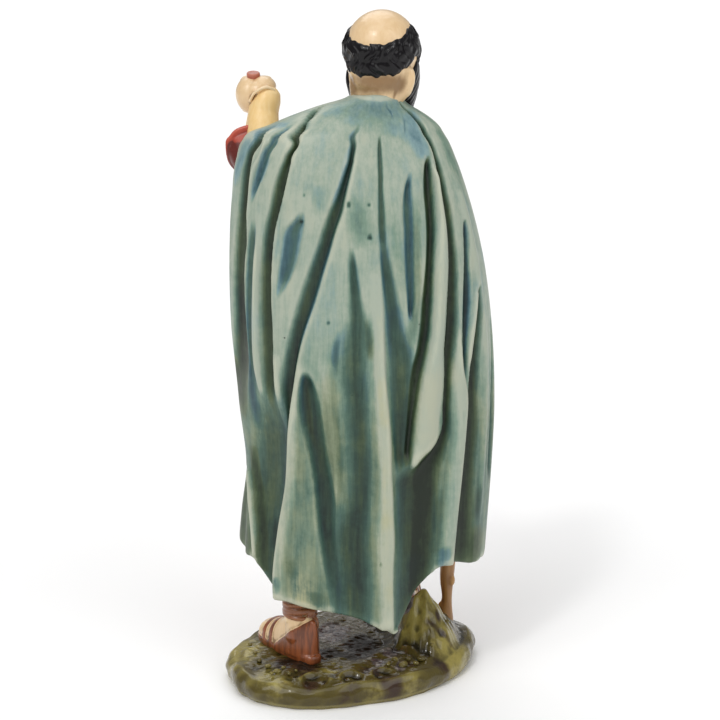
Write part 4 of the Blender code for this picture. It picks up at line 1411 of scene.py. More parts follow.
@dataclass
class Tunic:
    """The knee-long tunic, its belt and the belt's hanging ends."""

    belt_height: float = 121.0
    belt_half: float = 3.0
    columns: int = 220
    rows: int = 122
    reach: Knots = (
        (176.0, 1.6, -10.4, -8.0, 6.6), (171.0, 9.5, -14.6, -11.0, 8.8), (164.0, 17.0, -20.0, -14.0, 12.0),
        (150.0, 17.5, -20.0, -16.5, 16.0), (132.0, 16.0, -17.5, -16.5, 18.0), (122.0, 15.5, -17.0, -15.5, 19.0),
        (112.0, 17.5, -18.5, -17.0, 20.0), (90.0, 21.0, -21.0, -19.0, 21.0), (70.0, 23.5, -23.5, -20.5, 21.5),
        (56.0, 25.0, -25.5, -21.5, 22.0),
    )

    def ring(self, heights: Points, swell: Points) -> tuple[Points, Points, Points, Points]:
        """Points round the body.

        Args:
            heights: One height for each ring.
            swell: How far each ring swells from the body, as a share.

        Returns:
            x, y, z and the angle from the front, each rings by columns.
        """
        angle = np.linspace(-math.pi, math.pi, self.columns, endpoint=False)[None, :]
        z = np.asarray(heights, float)[:, None] + 0 * angle
        left, right, front, back = (station(self.reach, z, k) for k in (1, 2, 3, 4))
        wide, middle_y = (left - right) / 2, (front + back) / 2
        x = ((left + right) / 2 + wide * np.sin(angle)) * swell
        y = (middle_y - (back - front) / 2 * np.cos(angle) - 2) * swell + 2
        return x, y, z, angle

    def build(self) -> Piece:
        """The tunic's cloth, gathered under the belt."""
        heights = np.linspace(self.reach[0][0], self.reach[-1][0], self.rows)
        x, y, z, angle = self.ring(heights, np.ones((self.rows, 1)))
        below = ease(-z, -self.belt_height, -(self.belt_height - 9))
        skirt = ease(-z, -self.belt_height, -70)
        above = ease(z, self.belt_height + 1, self.belt_height + 12)
        chest = above * (1 - ease(z, 158, 172))
        wave = np.cos(11 * angle + 0.8 * np.sin(2 * angle) + 0.012 * (z - 60))
        crisp = np.abs(wave) ** 0.8 * np.sign(wave)
        pleats = 1 + (0.02 * below + 0.06 * skirt) * crisp + 0.012 * skirt * np.cos(23 * angle)
        blouse = 0.035 * np.exp(-(((z - self.belt_height - 6) / 5) ** 2))
        drag = np.cos(8 * angle + z * 0.1) + 0.5 * np.cos(15 * angle - z * 0.07)
        pleats = pleats + 0.028 * chest * drag + blouse
        x, y = x * pleats, (y - 2) * pleats + 2
        y = y - 4.8 * np.exp(-(((x + 11.5) / 9.5) ** 2) - ((z - 60) / 27.0) ** 2) * (y < 0)
        z = z + skirt * 1.5 * wave
        rings = np.stack([x, y, z], axis=-1)
        inner = rings[-1] * (0.93, 0.93, 1) + (0, 0, 1.2)
        inner[:, 1] += 0.14
        rings = np.concatenate([rings, rings[-1:] * (0.975, 0.975, 1) - (0, 0, 0.7), inner[None]])
        piece = make_piece("tunic", rings.reshape(-1, 3), tube_faces(len(rings), self.columns), 60.0)
        mark_hollows(piece, 16, 0.4)
        return piece

    def build_belt(self) -> Piece:
        """The sash: twisted cloth round the waist with a knot and two ends."""
        clay = Clay()
        shares = np.linspace(-1, 1, 9)
        round_off = np.sqrt(np.clip(1 - (shares * 0.97) ** 2, 0, 1))
        x, y, z, angle = self.ring(self.belt_height + self.belt_half * shares, np.ones((9, 1)))
        twist = 0.014 * np.cos(3 * (z - self.belt_height) + 9 * angle)
        swell = 0.97 + 0.14 * round_off[:, None] + twist
        clay.loft(np.stack([x * swell, (y - 2) * swell + 2, z + 0.7 * np.sin(angle * 2)], axis=-1))
        knot = Vector((4.5, -17.5, self.belt_height))
        clay.ball(knot, (3.2, 2.8, 3.4))
        clay.limb((knot + Vector((-3, 0, 1)), knot + Vector((0, -1.6, 0)), knot + Vector((3, 0, -1))), (1.4, 1.9, 1.4))
        for across, length, width in ((-1.2, 24, 2.3), (3.4, 19, 2.1)):
            ends = (
                knot,
                knot + Vector((across * 0.9, -1.2, -length * 0.4)),
                knot + Vector((across, -2.6, -length * 0.75)),
                knot + Vector((across * 1.1, -3.0, -length)),
            )
            clay.limb(ends, (1.4, width * 0.8, width, width * 1.05), 16, 0.62)
        return clay.carve("sash", 0.5, 3, 8, 0.22)

    def dress(self) -> list[Piece]:
        """Builds and paints the tunic and its sash."""
        return [dress(self.build(), TUNIC.material()), dress(self.build_belt(), SASH.material())]


# Arms, hands and what they hold


def add_fist(clay: Clay, centre: Vector, grip: Vector, outward: Vector, size: float) -> None:
    """A closed hand round a bar.

    Args:
        clay: Where it is added.
        centre: The hand's middle, on the bar.
        grip: The bar's direction.
        outward: Where the knuckles point.
        size: The hand's width over its knuckles.
    """
    grip, outward = grip.normalized(), outward.normalized()
    across = grip.cross(outward).normalized()
    turned = Matrix((across, outward, grip)).transposed()
    clay.ball(centre, (0.42 * size, 0.4 * size, 0.45 * size), turned)
    for k in range(4):
        along = (k - 1.5) * 0.25 * size
        reach = (0.4, 0.43, 0.42, 0.37)[k] * size
        arc = [
            centre + grip * along + (across * math.cos(t) + outward * math.sin(t)) * reach
            for t in np.radians([8.0, 40.0, 80.0, 125.0, 165.0])
        ]
        clay.limb(arc, [r * size for r in (0.115, 0.135, 0.128, 0.132, 0.11)])
    thumb = (
        centre + grip * (0.22 * size) + across * (0.36 * size) + outward * (0.06 * size),
        centre + grip * (0.42 * size) + across * (0.26 * size) + outward * (0.42 * size),
        centre + grip * (0.4 * size) - across * (0.08 * size) + outward * (0.52 * size),
    )
    clay.limb(thumb, (0.15 * size, 0.145 * size, 0.12 * size))


@dataclass
class LeftArm:
    """The raised arm: ochre sleeve, wide red outer sleeve, fist and the rod's end in it."""

    shoulder: Vector = Vector((15, 1, 163))
    elbow: Vector = Vector((28.6, -2.0, 153))
    wrist: Vector = Vector((28.8, -13.0, 171.5))
    fist: Vector = Vector((31.2, -17.6, 175.2))
    rod_radius: float = 1.8
    rod_lean: Vector = Vector((0.1, 0.3, 1.0))

    def dress(self) -> list[Piece]:
        """Builds and paints the arm's pieces."""
        sleeve = Clay()
        along = (self.wrist - self.elbow).normalized()
        forearm = self.elbow.lerp(self.wrist, 0.55)
        sleeve.limb((self.shoulder, self.elbow, forearm, self.wrist), (6.6, 5.0, 4.9, 4.5), 28)
        cuff = [self.wrist + Vector(p) for p in ((1.0, 0.4, -7.0), (-0.1, 0.9, -1.0), (-1.4, 0.4, 3.0))]
        sleeve.limb(cuff, (4.7, 4.5, 4.0), 28)
        for turn in (0.0, 1.1, 2.3):
            side = Vector((math.cos(turn), math.sin(turn), 0)) * 4.6
            start, end = self.elbow + side, self.elbow.lerp(self.wrist, 0.7) + side * 0.85
            sleeve.limb((start, start.lerp(end, 0.5) + side * 0.05, end), (0.8, 1.0, 0.5))
        sleeve_piece = sleeve.carve("left_sleeve", 0.4, 3, 8, 0.25)

        hand = Clay()
        rod = self.rod_lean.normalized()
        add_fist(hand, self.fist + Vector((-0.4, -1.8, 0.3)), rod, Vector((0.15, -1, 0)), 10.6)
        hand.ball(self.fist + Vector((1.4, 0.9, 0.2)), (4.7, 5.2, 5.7), Matrix.Rotation(math.radians(8), 3, "Y"), 32)
        hand.ball(self.fist + Vector((-2.2, 1.4, 2.6)), (4.0, 4.8, 3.4), None, 32)
        hand.ball(self.fist + Vector((-1.2, 3.4, 1.2)), (4.6, 3.4, 3.6), None, 32)
        hand.limb((self.wrist - along * 3, self.wrist, self.fist), (3.7, 3.9, 4.6), 24)
        heel = ((3.9, 2.0, 2.4), (2.7, 3.0, 4.6), (0.7, 3.4, 6.0), (-1.2, 3.3, 6.6), (-3.0, 2.4, 5.9), (-4.2, 1.0, 4.1))
        hand.limb([self.wrist + Vector(p) for p in heel], (0.4, 0.5, 0.55, 0.55, 0.5, 0.4), 14)
        hand_piece = hand.carve("left_fist", 0.32, 4, 8, 0.16)

        bar = Clay()
        r = self.rod_radius
        bar.limb((self.fist - rod * 11, self.fist, self.fist + rod * 5.4), (r * 0.9, r, r * 1.1), 24)
        first, turns = Vector((1, 0, 0)), even_turns(24)
        second = rod.cross(first)
        bar.loft(np.array([
            [list(self.fist + rod * up + (first * math.cos(t) + second * math.sin(t)) * wide) for t in turns]
            for up, wide in ((3.0, r), (6.6, r * 1.15), (7.2, r * 1.12), (7.35, r * 0.9), (7.1, r * 0.3))
        ]))
        bar_piece = bar.carve("rod", 0.3, 2, 6, 0.2)
        return [
            dress(sleeve_piece, SLEEVE.material()),
            dress(hand_piece, SKIN.material()),
            dress(bar_piece, ROD.material()),
            dress(self.outer_sleeve(), TUNIC.material()),
        ]

    def outer_sleeve(self) -> Piece:
        """The wide sleeve that hangs from the forearm, with a rolled rim."""
        clay = Clay()
        along = (self.wrist - self.elbow).normalized()
        mouth = self.elbow.lerp(self.wrist, 0.62)
        rings = []
        stations = (
            (-0.1, 6.2, 5.0), (0.1, 7.0, 6.2), (0.3, 7.8, 7.5), (0.5, 8.6, 9.2), (0.7, 9.4, 11.0), (0.9, 10.1, 13.2),
            (1.0, 10.4, 14.0),
        )
        rim = []
        for share, wide, drop in stations:
            centre = self.elbow.lerp(mouth, share) - along * 0.5
            ring = []
            for k in range(48):
                turn = 2 * math.pi * k / 48
                hang = drop if math.cos(turn) < 0 else 5.0 - 1.8 * share
                ripple = 1 + 0.05 * math.cos(7 * turn) * share
                slump = 0.22 * wide * share * max(0.0, math.sin(turn)) ** 2
                out, lift = wide * math.sin(turn) * ripple, hang * math.cos(turn) * ripple - slump
                ring.append(centre + Vector((out, 0, lift)))
            rings.append([list(p) for p in ring])
            rim = ring
        clay.loft(np.array(rings))
        clay.limb([*rim[::3], rim[0]], [0.9] * (len(rim[::3]) + 1))
        piece = clay.carve("outer_sleeve", 0.4, 3, 8, 0.25)
        x, y, z = figure_points(piece).T
        # Painted shadow on the lower, back part of the sleeve, under its rolled rim
        shade_more(piece, 0.7 * ease(-z, -163.0, -161.5) * ease(y, -12, -7))
        return piece


@dataclass
class RightArm:
    """The lowered arm, whose fist rests on the walking stick."""

    shoulder: Vector = Vector((-17, 0, 158.5))
    elbow: Vector = Vector((-28.6, -6.0, 132))
    wrist: Vector = Vector((-31, -21, 117))
    fist: Vector = Vector((-30.5, -27.0, 112.5))
    stick_foot: Vector = Vector((-27.6, -15.0, 7.0))
    stick_radius: float = 2.3

    def dress(self) -> list[Piece]:
        """Builds and paints the arm's pieces and the stick."""
        sleeve = Clay()
        sleeve.limb((self.shoulder, self.elbow, self.elbow.lerp(self.wrist, 0.5), self.wrist), (7.0, 5.2, 5.0, 4.6), 28)
        along = (self.wrist - self.elbow).normalized()
        sleeve.limb((self.wrist - along * 1.8, self.wrist), (4.8, 5.0), 28)
        for turn in (0.4, 1.7, 3.0):
            side = Vector((math.cos(turn) * 0.8, 0.3, math.sin(turn))) * 4.8
            start, end = self.elbow + side, self.elbow.lerp(self.wrist, 0.8) + side * 0.85
            sleeve.limb((start, start.lerp(end, 0.5) + side * 0.06, end), (0.8, 1.1, 0.5))
        sleeve_piece = sleeve.carve("right_sleeve", 0.4, 3, 8, 0.25)

        hand = Clay()
        lean = self.fist - self.stick_foot
        add_fist(hand, self.fist, lean, Vector((-0.3, -1, 0)), 11.4)
        hand.limb((self.wrist - along * 2, self.wrist, self.fist), (3.8, 3.8, 4.2), 24)
        hand_piece = hand.carve("right_fist", 0.32, 3, 8, 0.16)
        return [
            dress(sleeve_piece, SLEEVE.material()),
            dress(hand_piece, SKIN.material()),
            dress(self.stick(), WOOD.material()),
        ]

    def stick(self) -> Piece:
        """The gnarled walking stick, which stands on the rock."""
        clay = Clay()
        r = self.stick_radius
        top = self.fist + (self.fist - self.stick_foot).normalized() * 9
        shares = (0.0, 0.035, 0.08, 0.15, 0.3, 0.5, 0.7, 0.88, 1.0)
        bends = (0.6, 0.4, 0.0, 0.2, -0.5, 0.5, -0.4, 0.3, 0.0)
        knots = [self.stick_foot.lerp(top, s) + Vector((b, -b * 0.6, 0)) for s, b in zip(shares, bends)]
        clay.limb(knots, [r * g for g in (1.4, 1.1, 0.72, 1.02, 1.04, 0.98, 1.05, 1.0, 1.25)], 24)
        for k, share in enumerate((0.05, 0.13, 0.19, 0.33, 0.46, 0.61, 0.76, 0.95)):
            turn = 2.4 * k
            side = Vector((math.cos(turn), math.sin(turn), 0.2)) * r * 0.72
            clay.ball(self.stick_foot.lerp(top, share) + side, (1.2, 1.2, 2.0), sides=14)
        return clay.carve("walking_stick", 0.4, 3, 8, 0.2)


# Legs and sandals


@dataclass
class Leg:
    """A bare leg in a sandal."""

    name: str
    hip: Vector
    knee: Vector
    ankle: Vector
    heel: Vector
    toe: Vector
    outer: float
    ankle_radius: float = 4.4
    sole: float = 1.6
    triangles: int = 72000
    foot_stations: Knots = (
        (0.0, 0.9, 11.5), (0.09, 2.9, 12.5), (0.24, 4.4, 13.0), (0.4, 4.8, 11.6), (0.56, 5.1, 8.6),
        (0.74, 5.4, 6.4), (0.9, 4.9, 5.2), (0.97, 3.8, 4.2), (1.0, 2.4, 3.0),
    )

    def frame_of(self, points: Points) -> tuple[Points, Points, Points]:
        """Where points are on the foot.

        Args:
            points: Places on the figure.

        Returns:
            Share of the foot's length from the heel, distance to its outer side, and height over its sole.
        """
        forward = np.array(self.toe - self.heel)
        length = np.linalg.norm(forward)
        side = np.array([-forward[1], forward[0], 0]) / length
        apart = points - np.array(self.heel)
        share = apart @ forward / length**2
        return share, apart @ side * self.outer, apart[:, 2] - share * forward[2]

    def build(self) -> Piece:
        """The leg and the foot in its sandal, with the leather raised a little."""
        clay = Clay()
        shin = self.knee.lerp(self.ankle, 0.35)
        calf = shin + Vector((0, 1.2, 0))
        clay.limb((self.hip, self.knee, calf, self.ankle), (7.0, 5.9, 6.1, self.ankle_radius), 28)
        forward = self.toe - self.heel
        side = Vector((-forward.y, forward.x, 0)).normalized()
        rows = np.array(self.foot_stations, float)
        rings = []
        for share in np.linspace(0, 1, 33):
            half = float(smooth_curve(np.array(share), rows[:, 0], rows[:, 1]))
            high = float(smooth_curve(np.array(share), rows[:, 0], rows[:, 2]))
            centre = self.heel + forward * share
            ring = []
            for t in np.linspace(math.pi, -math.pi, 36, endpoint=False):
                lift = self.sole * 0.5 + high * max(0.0, math.sin(t)) ** 0.7
                ring.append(list(centre + side * (half * math.cos(t)) + Vector((0, 0, lift))))
            rings.append(ring)
        clay.loft(np.array(rings))
        for k in range(5):
            across = (-3.9 + 1.95 * k) * self.outer
            tip = self.heel + forward * (1.0 - 0.035 * abs(k - 1)) + side * across
            base = self.heel + forward * 0.84 + side * across * 0.98
            lift = Vector((0, 0, self.sole + 1.6))
            clay.limb((base + lift * 1.5, tip + lift * 0.9), (1.25, 1.3 if k else 1.0), 14)
        clay.limb((self.heel.lerp(self.toe, 0.26) + Vector((0, 0, 6)), self.ankle), (4.8, 4.6), 28)
        for way in (-1, 1):
            clay.ball(self.ankle + side * 3.6 * way + Vector((0, 0, -1)), (1.5, 1.5, 1.7), sides=16)
        slab = []
        for drop in (-0.7, -0.5, self.sole - 0.3, self.sole):
            shrink = 0.95 if drop in (-0.7, self.sole) else 1.0
            outline = []
            for t in even_turns(72):
                share = 0.5 - 0.53 * math.cos(t) * shrink
                half = 5.9 * abs(math.sin(t)) ** 0.6 * (0.62 + 0.44 * min(1.0, max(0.0, share))) * shrink
                place = self.heel + forward * share + side * math.copysign(half, math.sin(t))
                outline.append(list(place + Vector((0, 0, drop))))
            slab.append(outline)
        clay.loft(np.array(slab))
        piece = clay.fuse(self.name, 0.33, 3, self.triangles)
        self.lay_leather(piece)
        mark_hollows(piece, 8, 0.16)
        return piece

    def lay_leather(self, piece: Piece) -> None:
        """Raises and marks the heel cup, the sole and the straps.

        Args:
            piece: The leg.
        """
        points = figure_points(piece)
        share, out, high = self.frame_of(points)
        foot = ease(-points[:, 2], -(self.heel.z + 16.5), -(self.heel.z + 15.5))
        cup = ease(13.4 - 13.0 * share / 0.6 - high, -0.5, 0.5) * ease(high, 0, 0.5)
        slab = ease(-high, -1.9, -1.3)
        strap = np.zeros(len(points))
        for place, width in ((0.66, 0.04), (0.8, 0.04)):
            strap = np.maximum(strap, 1 - ease(np.abs(share - place + 0.006 * out), width * 0.6, width))
        leather = np.maximum(np.maximum(cup, slab), strap) * foot
        move_points(piece, points + point_normals(piece) * (0.45 * leather)[:, None])
        mark(piece, "leather", leather)

    def ankle_strap(self) -> Piece:
        """A thong tied round the ankle."""
        clay = Clay()
        r = self.ankle_radius + 0.35
        for lift, swing in ((-0.7, 0.5), (0.5, -0.3), (1.7, 0.4), (2.7, -0.5)):
            ring = [
                self.ankle + Vector((r * math.cos(t), r * math.sin(t), 1.2 + lift + swing * math.cos(t + 1)))
                for t in np.linspace(0, 2 * math.pi, 17)
            ]
            clay.limb(ring, [0.72] * 17, 12)
        back = self.ankle + Vector((-r * 0.75, r * 0.75, 1.8))
        clay.ball(back, (1.5, 1.4, 1.7), sides=16)
        clay.limb((back, back + Vector((-1.2, 0.6, -2.2)), back + Vector((-1.6, 0.6, -4.4))), (0.7, 0.9, 0.7), 12)
        clay.limb((back, back + Vector((0.8, 1.0, -1.8)), back + Vector((1.2, 0.9, -3.8))), (0.7, 0.8, 0.6), 12)
        return clay.carve(self.name + "_ankle_thong", 0.28, 2, 6, 0.15)

    def dress(self) -> list[Piece]:
        """Builds and paints the leg and its thong."""
        skin = TwoPaints(SKIN, (("leather", "96522B", 0.75),))
        return [dress(self.build(), skin.material()), dress(self.ankle_strap(), LEATHER.material())]


# The head


@dataclass
class Head:
    """The bald head with its ring of combed hair, full beard and a calm, plain face."""

    centre: Vector = Vector((-6.3, -2.0, 187.6))
    turn: float = math.radians(-14.0)
    neck_foot: Vector = Vector((-4.6, 1.5, 168.0))
    skull: tuple[Knots, ...] = (((0, 0, 1.6), (10.7, 12.0, 11.5)),)
    masses: tuple[Knots, ...] = (
        ((0, 3.2, -2.6), (9.3, 8.4, 8.0)),
        ((0, -3.2, -6.2), (7.6, 8.0, 8.6)),
        ((0, -6.4, -12.0), (7.0, 5.8, 6.6)),
    )
    skin_triangles: int = 94000
    beard_triangles: int = 110000
    hair_rows: int = 77
    hair_columns: int = 361
    hair_reach: float = math.radians(109)
    eye: tuple[float, float, float] = (3.5, -10.4, 0.4)
    ears: tuple[tuple[Knots, Knots, float, float], ...] = (
        ((-7.3, 4.0, -8.2), (2.7, 1.15, 5.6), math.radians(20), math.radians(22)),
        ((8.0, 0.6, -7.0), (2.3, 1.6, 4.6), math.radians(-40), math.radians(8)),
    )

    def at(self, x: float, y: float, z: float) -> Vector:
        """A place on the figure from one on the head, whose face looks towards -Y."""
        c, s = math.cos(self.turn), math.sin(self.turn)
        return Vector((self.centre.x + x * c - y * s, self.centre.y + x * s + y * c, self.centre.z + z))

    def build_skin(self) -> Piece:
        """Skull, face, ears and neck."""
        clay = Clay()
        turned = Matrix.Rotation(self.turn, 3, "Z")
        for centre, radii in (*self.skull, *self.masses):
            clay.ball(self.at(*centre), radii, turned, 48)
        clay.limb((self.neck_foot, self.at(0, 3.0, -10.0), self.at(0, 3.4, -6.4)), (6.3, 6.7, 8.0), 32)
        clay.limb((self.at(0, -10.4, 1.8), self.at(0, -12.0, -1.4), self.at(0, -13.2, -4.0)), (0.9, 1.15, 1.5))
        clay.ball(self.at(0, -11.6, -7.9), (2.6, 1.5, 1.1), turned)
        for way in (-1, 1):
            clay.ball(self.at(1.25 * way, -12.0, -4.4), (1.1, 1.3, 0.95), turned, 16)
            clay.ball(self.at(4.7 * way, -7.9, -3.6), (3.0, 3.2, 2.6), turned)
            brow = (
                self.at(1.4 * way, -11.5, 2.6), self.at(4.0 * way, -11.2, 3.5),
                self.at(6.4 * way, -9.6, 3.0), self.at(8.0 * way, -7.4, 1.4),
            )
            clay.limb(brow, (0.9, 1.1, 0.95, 0.6))
            self.add_ear(clay, way)
        clay.ball(self.at(6.0, 3.9, -8.1), (2.6, 3.0, 6.4), turned)
        piece = clay.fuse("head", 0.27, 4, self.skin_triangles)
        x, y, z = figure_points(piece).T
        nape = ease(y, 1.5, 4.0) * ease(-z, -186, -184)
        relax(piece, 0.9 * nape * ease(-np.abs(x + 6.0), -8.5, -7.0), 60)
        apart = figure_points(piece) - np.array(self.centre)
        across, ahead = (apart @ np.array(self.at(*way) - self.centre) for way in ((1, 0, 0), (0, -1, 0)))
        cheeks = ease(np.abs(across), 2.5, 3.6) * ease(-apart[:, 2], 1.0, 2.2)
        relax(piece, 0.9 * cheeks * ease(ahead, 3.5, 5.5), 90)
        self.carve_face(piece)
        mark_hollows(piece, 10, 0.16)
        x, y, z = figure_points(piece).T
        # Painted shade on the nape under the hair, and in the creases beside the ears
        under_hair = np.exp(-(((z - 180.2) / 3.0) ** 2) - ((x + 5.6) / 7.5) ** 4) * (y > 0)
        right_crease = 0.34 * np.exp(-(((x + 10.4 + 0.28 * (z - 178.5)) / 0.4) ** 2))
        behind_ears = right_crease + 0.6 * np.exp(-(((x - 2.4) / 1.0) ** 2))
        shade_more(piece, 0.7 * under_hair + np.exp(-(((z - 177.5) / 4.5) ** 2)) * (y > -5) * behind_ears)
        return piece

    def add_ear(self, clay: Clay, way: int) -> None:
        """An ear, its back plain and its rim rolled towards the front.

        Args:
            clay: Where it is added.
            way: 1 on the head's left, -1 on its right.
        """
        centre, (wide, thick, tall), flare, lean = self.ears[way > 0]
        turned = Matrix.Rotation(self.turn + way * flare, 3, "Z") @ Matrix.Rotation(way * lean, 3, "Y")
        middle = self.at(*centre)
        clay.ball(middle, (wide, thick, tall), turned, 28)
        rim = []
        for turn in np.radians([115.0, 80.0, 40.0, 0.0, -40.0, -75.0, -100.0]):
            out, up = way * 0.86 * wide * math.cos(turn), 0.88 * tall * math.sin(turn)
            rim.append(middle + turned @ Vector((out, -0.55 * thick, up)))
        clay.limb(rim, (0.55, 0.7, 0.75, 0.7, 0.65, 0.8, 0.7), 12)

    def carve_face(self, piece: Piece) -> None:
        """Sets the eyes in their sockets, and marks lids, whites, irises and lips.

        Args:
            piece: The head.
        """
        points = figure_points(piece)
        normals = point_normals(piece)
        move = np.zeros(len(points))
        white, iris, lip = (np.zeros(len(points)) for _ in range(3))
        for way in (-1, 1):
            x, y, z = self.eye
            middle = np.array(self.at(x * way, y, z))
            across = np.array(self.at(1, 0, 0) - self.at(0, 0, 0))
            apart = points - middle
            u, v = apart @ across, apart[:, 2]
            near = np.linalg.norm(apart, axis=1)
            socket = np.exp(-((u / 2.9) ** 2) - ((v - 0.1) / 1.9) ** 2) * (near < 6)
            move -= 0.8 * socket
            bulge = np.clip(1 - (u / 2.1) ** 2 - (v / 1.15) ** 2, 0, 1) * (near < 5)
            move += 0.9 * np.sqrt(bulge)
            almond = 1 - (u / 1.75) ** 2 - ((v + 0.1 * u * way) / 0.62) ** 2
            inside = ease(almond, 0.0, 0.25) * (near < 5)
            white = np.maximum(white, inside)
            iris = np.maximum(iris, inside * (1 - ease(np.hypot(u, v - 0.12), 0.62, 0.8)))
            lid = np.exp(-((almond) ** 2) / 0.1) * (near < 5)
            move += 0.22 * lid
        mouth = np.array(self.at(0, -12.6, -8.2))
        across = np.array(self.at(1, 0, 0) - self.at(0, 0, 0))
        apart = points - mouth
        u, v = apart @ across, apart[:, 2]
        close = np.linalg.norm(apart, axis=1) < 4
        seam = np.exp(-((v / 0.28) ** 2)) * ease(-np.abs(u), -2.6, -1.8) * close
        move -= 0.35 * seam
        lip = ease(1 - (u / 2.5) ** 2 - (v / 0.95) ** 2, 0.0, 0.3) * close
        move_points(piece, points + normals * move[:, None])
        mark(piece, "eye_white", white)
        mark(piece, "eye_iris", iris)
        mark(piece, "lips", lip)

    def skin_reach(self, angle: Points, height: Points) -> Points:
        """How far the bare skull reaches from the head's axis.

        Args:
            angle: Angles from the back of the head, in radians.
            height: Heights over the head's middle.

        Returns:
            The distance at each point.
        """
        farthest = np.zeros(np.broadcast(angle, height).shape)
        for (_, deep_at, high_at), (wide, deep, tall) in (*self.skull, self.masses[0]):
            a = (np.sin(angle) / wide) ** 2 + (np.cos(angle) / deep) ** 2
            b = np.cos(angle) * deep_at / deep**2
            inside = b * b - a * ((deep_at / deep) ** 2 + ((height - high_at) / tall) ** 2 - 1)
            farthest = np.maximum(farthest, np.where(inside > 0, (b + np.sqrt(np.maximum(inside, 0))) / a, 0))
        return farthest

    def build_hair(self) -> Piece:
        """A ring of wavy, combed hair from temple to temple."""
        reach = self.hair_reach
        angle = np.linspace(-reach, reach, self.hair_columns)[None, :] + np.zeros((self.hair_rows, 1))
        up = np.linspace(0, 1, self.hair_rows)[:, None]
        away = np.degrees(np.abs(angle))
        low = smooth_curve(away, (0, 30, 60, 88, 97, 110), (-5.8, -5.3, -3.0, -0.7, -3.2, -6.5))
        low = low + 0.3 * np.sin(angle * 13) + 0.15 * np.sin(angle * 29 + 1)
        high = smooth_curve(away, (0, 25, 52, 72, 90, 110), (3.5, 4.1, 6.3, 8.2, 8.8, 7.6))
        high = high + 0.22 * np.sin(angle * 12 + 2) + 0.12 * np.sin(angle * 27)
        height = low + (high - low) * up
        around = angle * self.skull[0][1][0]
        flow = around + 1.3 * np.sin(0.62 * height + 0.33 * around) + 0.5 * np.sin(1.1 * height - 0.8 * around)
        locks = 0.2 * np.sin(2.1 * flow + 0.9 * np.sin(0.8 * height)) + 0.07 * np.sin(4.9 * flow + 1.3)
        curls = 0.22 * np.sin(0.85 * around + 1.3 * np.sin(0.75 * height))
        locks = locks + curls * np.cos(0.8 * height + 0.55 * around)
        rounding = (1 - np.abs(2 * up - 1) ** 4) ** 0.5 * (1 - (np.abs(angle) / reach) ** 14) ** 0.5
        out = -0.25 + 0.85 * rounding + locks * (0.35 + 0.65 * rounding)
        skin = self.skin_reach(angle, height)

        def spread(thickness: Points) -> Points:
            """The band at some distance from the skull.

            Args:
                thickness: The distance at each point.

            Returns:
                The points.
            """
            x, y = (skin + thickness) * np.sin(angle), (skin + thickness) * np.cos(angle)
            c, s = math.cos(self.turn), math.sin(self.turn)
            turned = self.centre.x + x * c - y * s, self.centre.y + x * s + y * c
            return np.stack([*turned, self.centre.z + height], axis=-1)

        piece = closed_shell("hair", spread(out), spread(-1.6 + 0 * out)[::2, ::2], 0.15)
        mark_hollows(piece, 6, 0.5)
        return piece

    def build_beard(self) -> Piece:
        """Moustache and beard in wavy locks, from the ears down round the chin."""
        clay = Clay()
        turned = Matrix.Rotation(self.turn, 3, "Z")
        clay.ball(self.at(0, -6.6, -13.0), (6.4, 5.4, 6.0), turned, 32)
        for layer, count in ((0, 25), (1, 19)):
            for k in range(count):
                share = 2 * k / (count - 1) - 1
                angle = share * math.radians(100 - 12 * layer)
                side, front = math.sin(angle), math.cos(angle)
                wave = math.sin(4.7 * k + layer)
                long = 7.4 * front + 2.6 - 2.0 * layer
                knots = []
                for step in range(5):
                    t = step / 4
                    swing = 0.7 * math.sin(math.pi * 2 * t + wave * 2) * t
                    wide = 9.9 - (4.9 - 1.1 * side) * t * t
                    deep = 9.4 + 0.5 * math.sin(math.pi * t) + 0.35 * layer
                    start = -2.6 - 5.4 * front - 2.2 * layer * front - 3.2 * max(side, 0.0) ** 3
                    drop = t * (8.2 + long)
                    knots.append(self.at(wide * side + swing * front, -1.6 - deep * front + swing * side, start - drop))
                clay.limb(knots, (0.9, 1.25, 1.35, 1.15, 0.55), 10)
        for way in (-1, 1):
            for lift in (0.0, 0.9):
                hair = (
                    self.at(0.5 * way, -12.9, -6.0 - lift), self.at(2.6 * way, -12.6, -6.6 - lift),
                    self.at(4.6 * way, -11.2, -8.4 - lift), self.at(5.8 * way, -10.2, -11.4 - lift),
                )
                clay.limb(hair, (0.75, 1.05, 0.95, 0.45), 12)
        return clay.carve("beard", 0.27, 1, 5, 0.14, self.beard_triangles)

    def build_brows(self) -> Piece:
        """Both eyebrows."""
        clay = Clay()
        for way in (-1, 1):
            for k in range(5):
                t = k / 4
                start = self.at((1.7 + 4.6 * t) * way, -12.5 + 1.75 * t * t, 3.2 + 1.0 * t - 1.1 * t * t)
                end = self.at((3.1 + 4.4 * t) * way, -12.3 + 2.35 * t * t, 3.9 + 0.5 * t - 1.2 * t * t)
                clay.limb((start, end), (0.6, 0.5), 10)
        return clay.carve("eyebrows", 0.2, 1, 4, 0.1)

    def dress(self) -> list[Piece]:
        """Builds and paints the head's pieces."""
        skin = TwoPaints(SKIN, (("lips", "B8695A", 0.0), ("eye_white", "EDE6DA", 0.0), ("eye_iris", "2A1C14", 0.0)))
        return [
            dress(self.build_skin(), skin.material()),
            dress(self.build_hair(), HAIR.material()),
            dress(self.build_beard(), HAIR.material()),
            dress(self.build_brows(), HAIR.material()),
        ]


# The ground


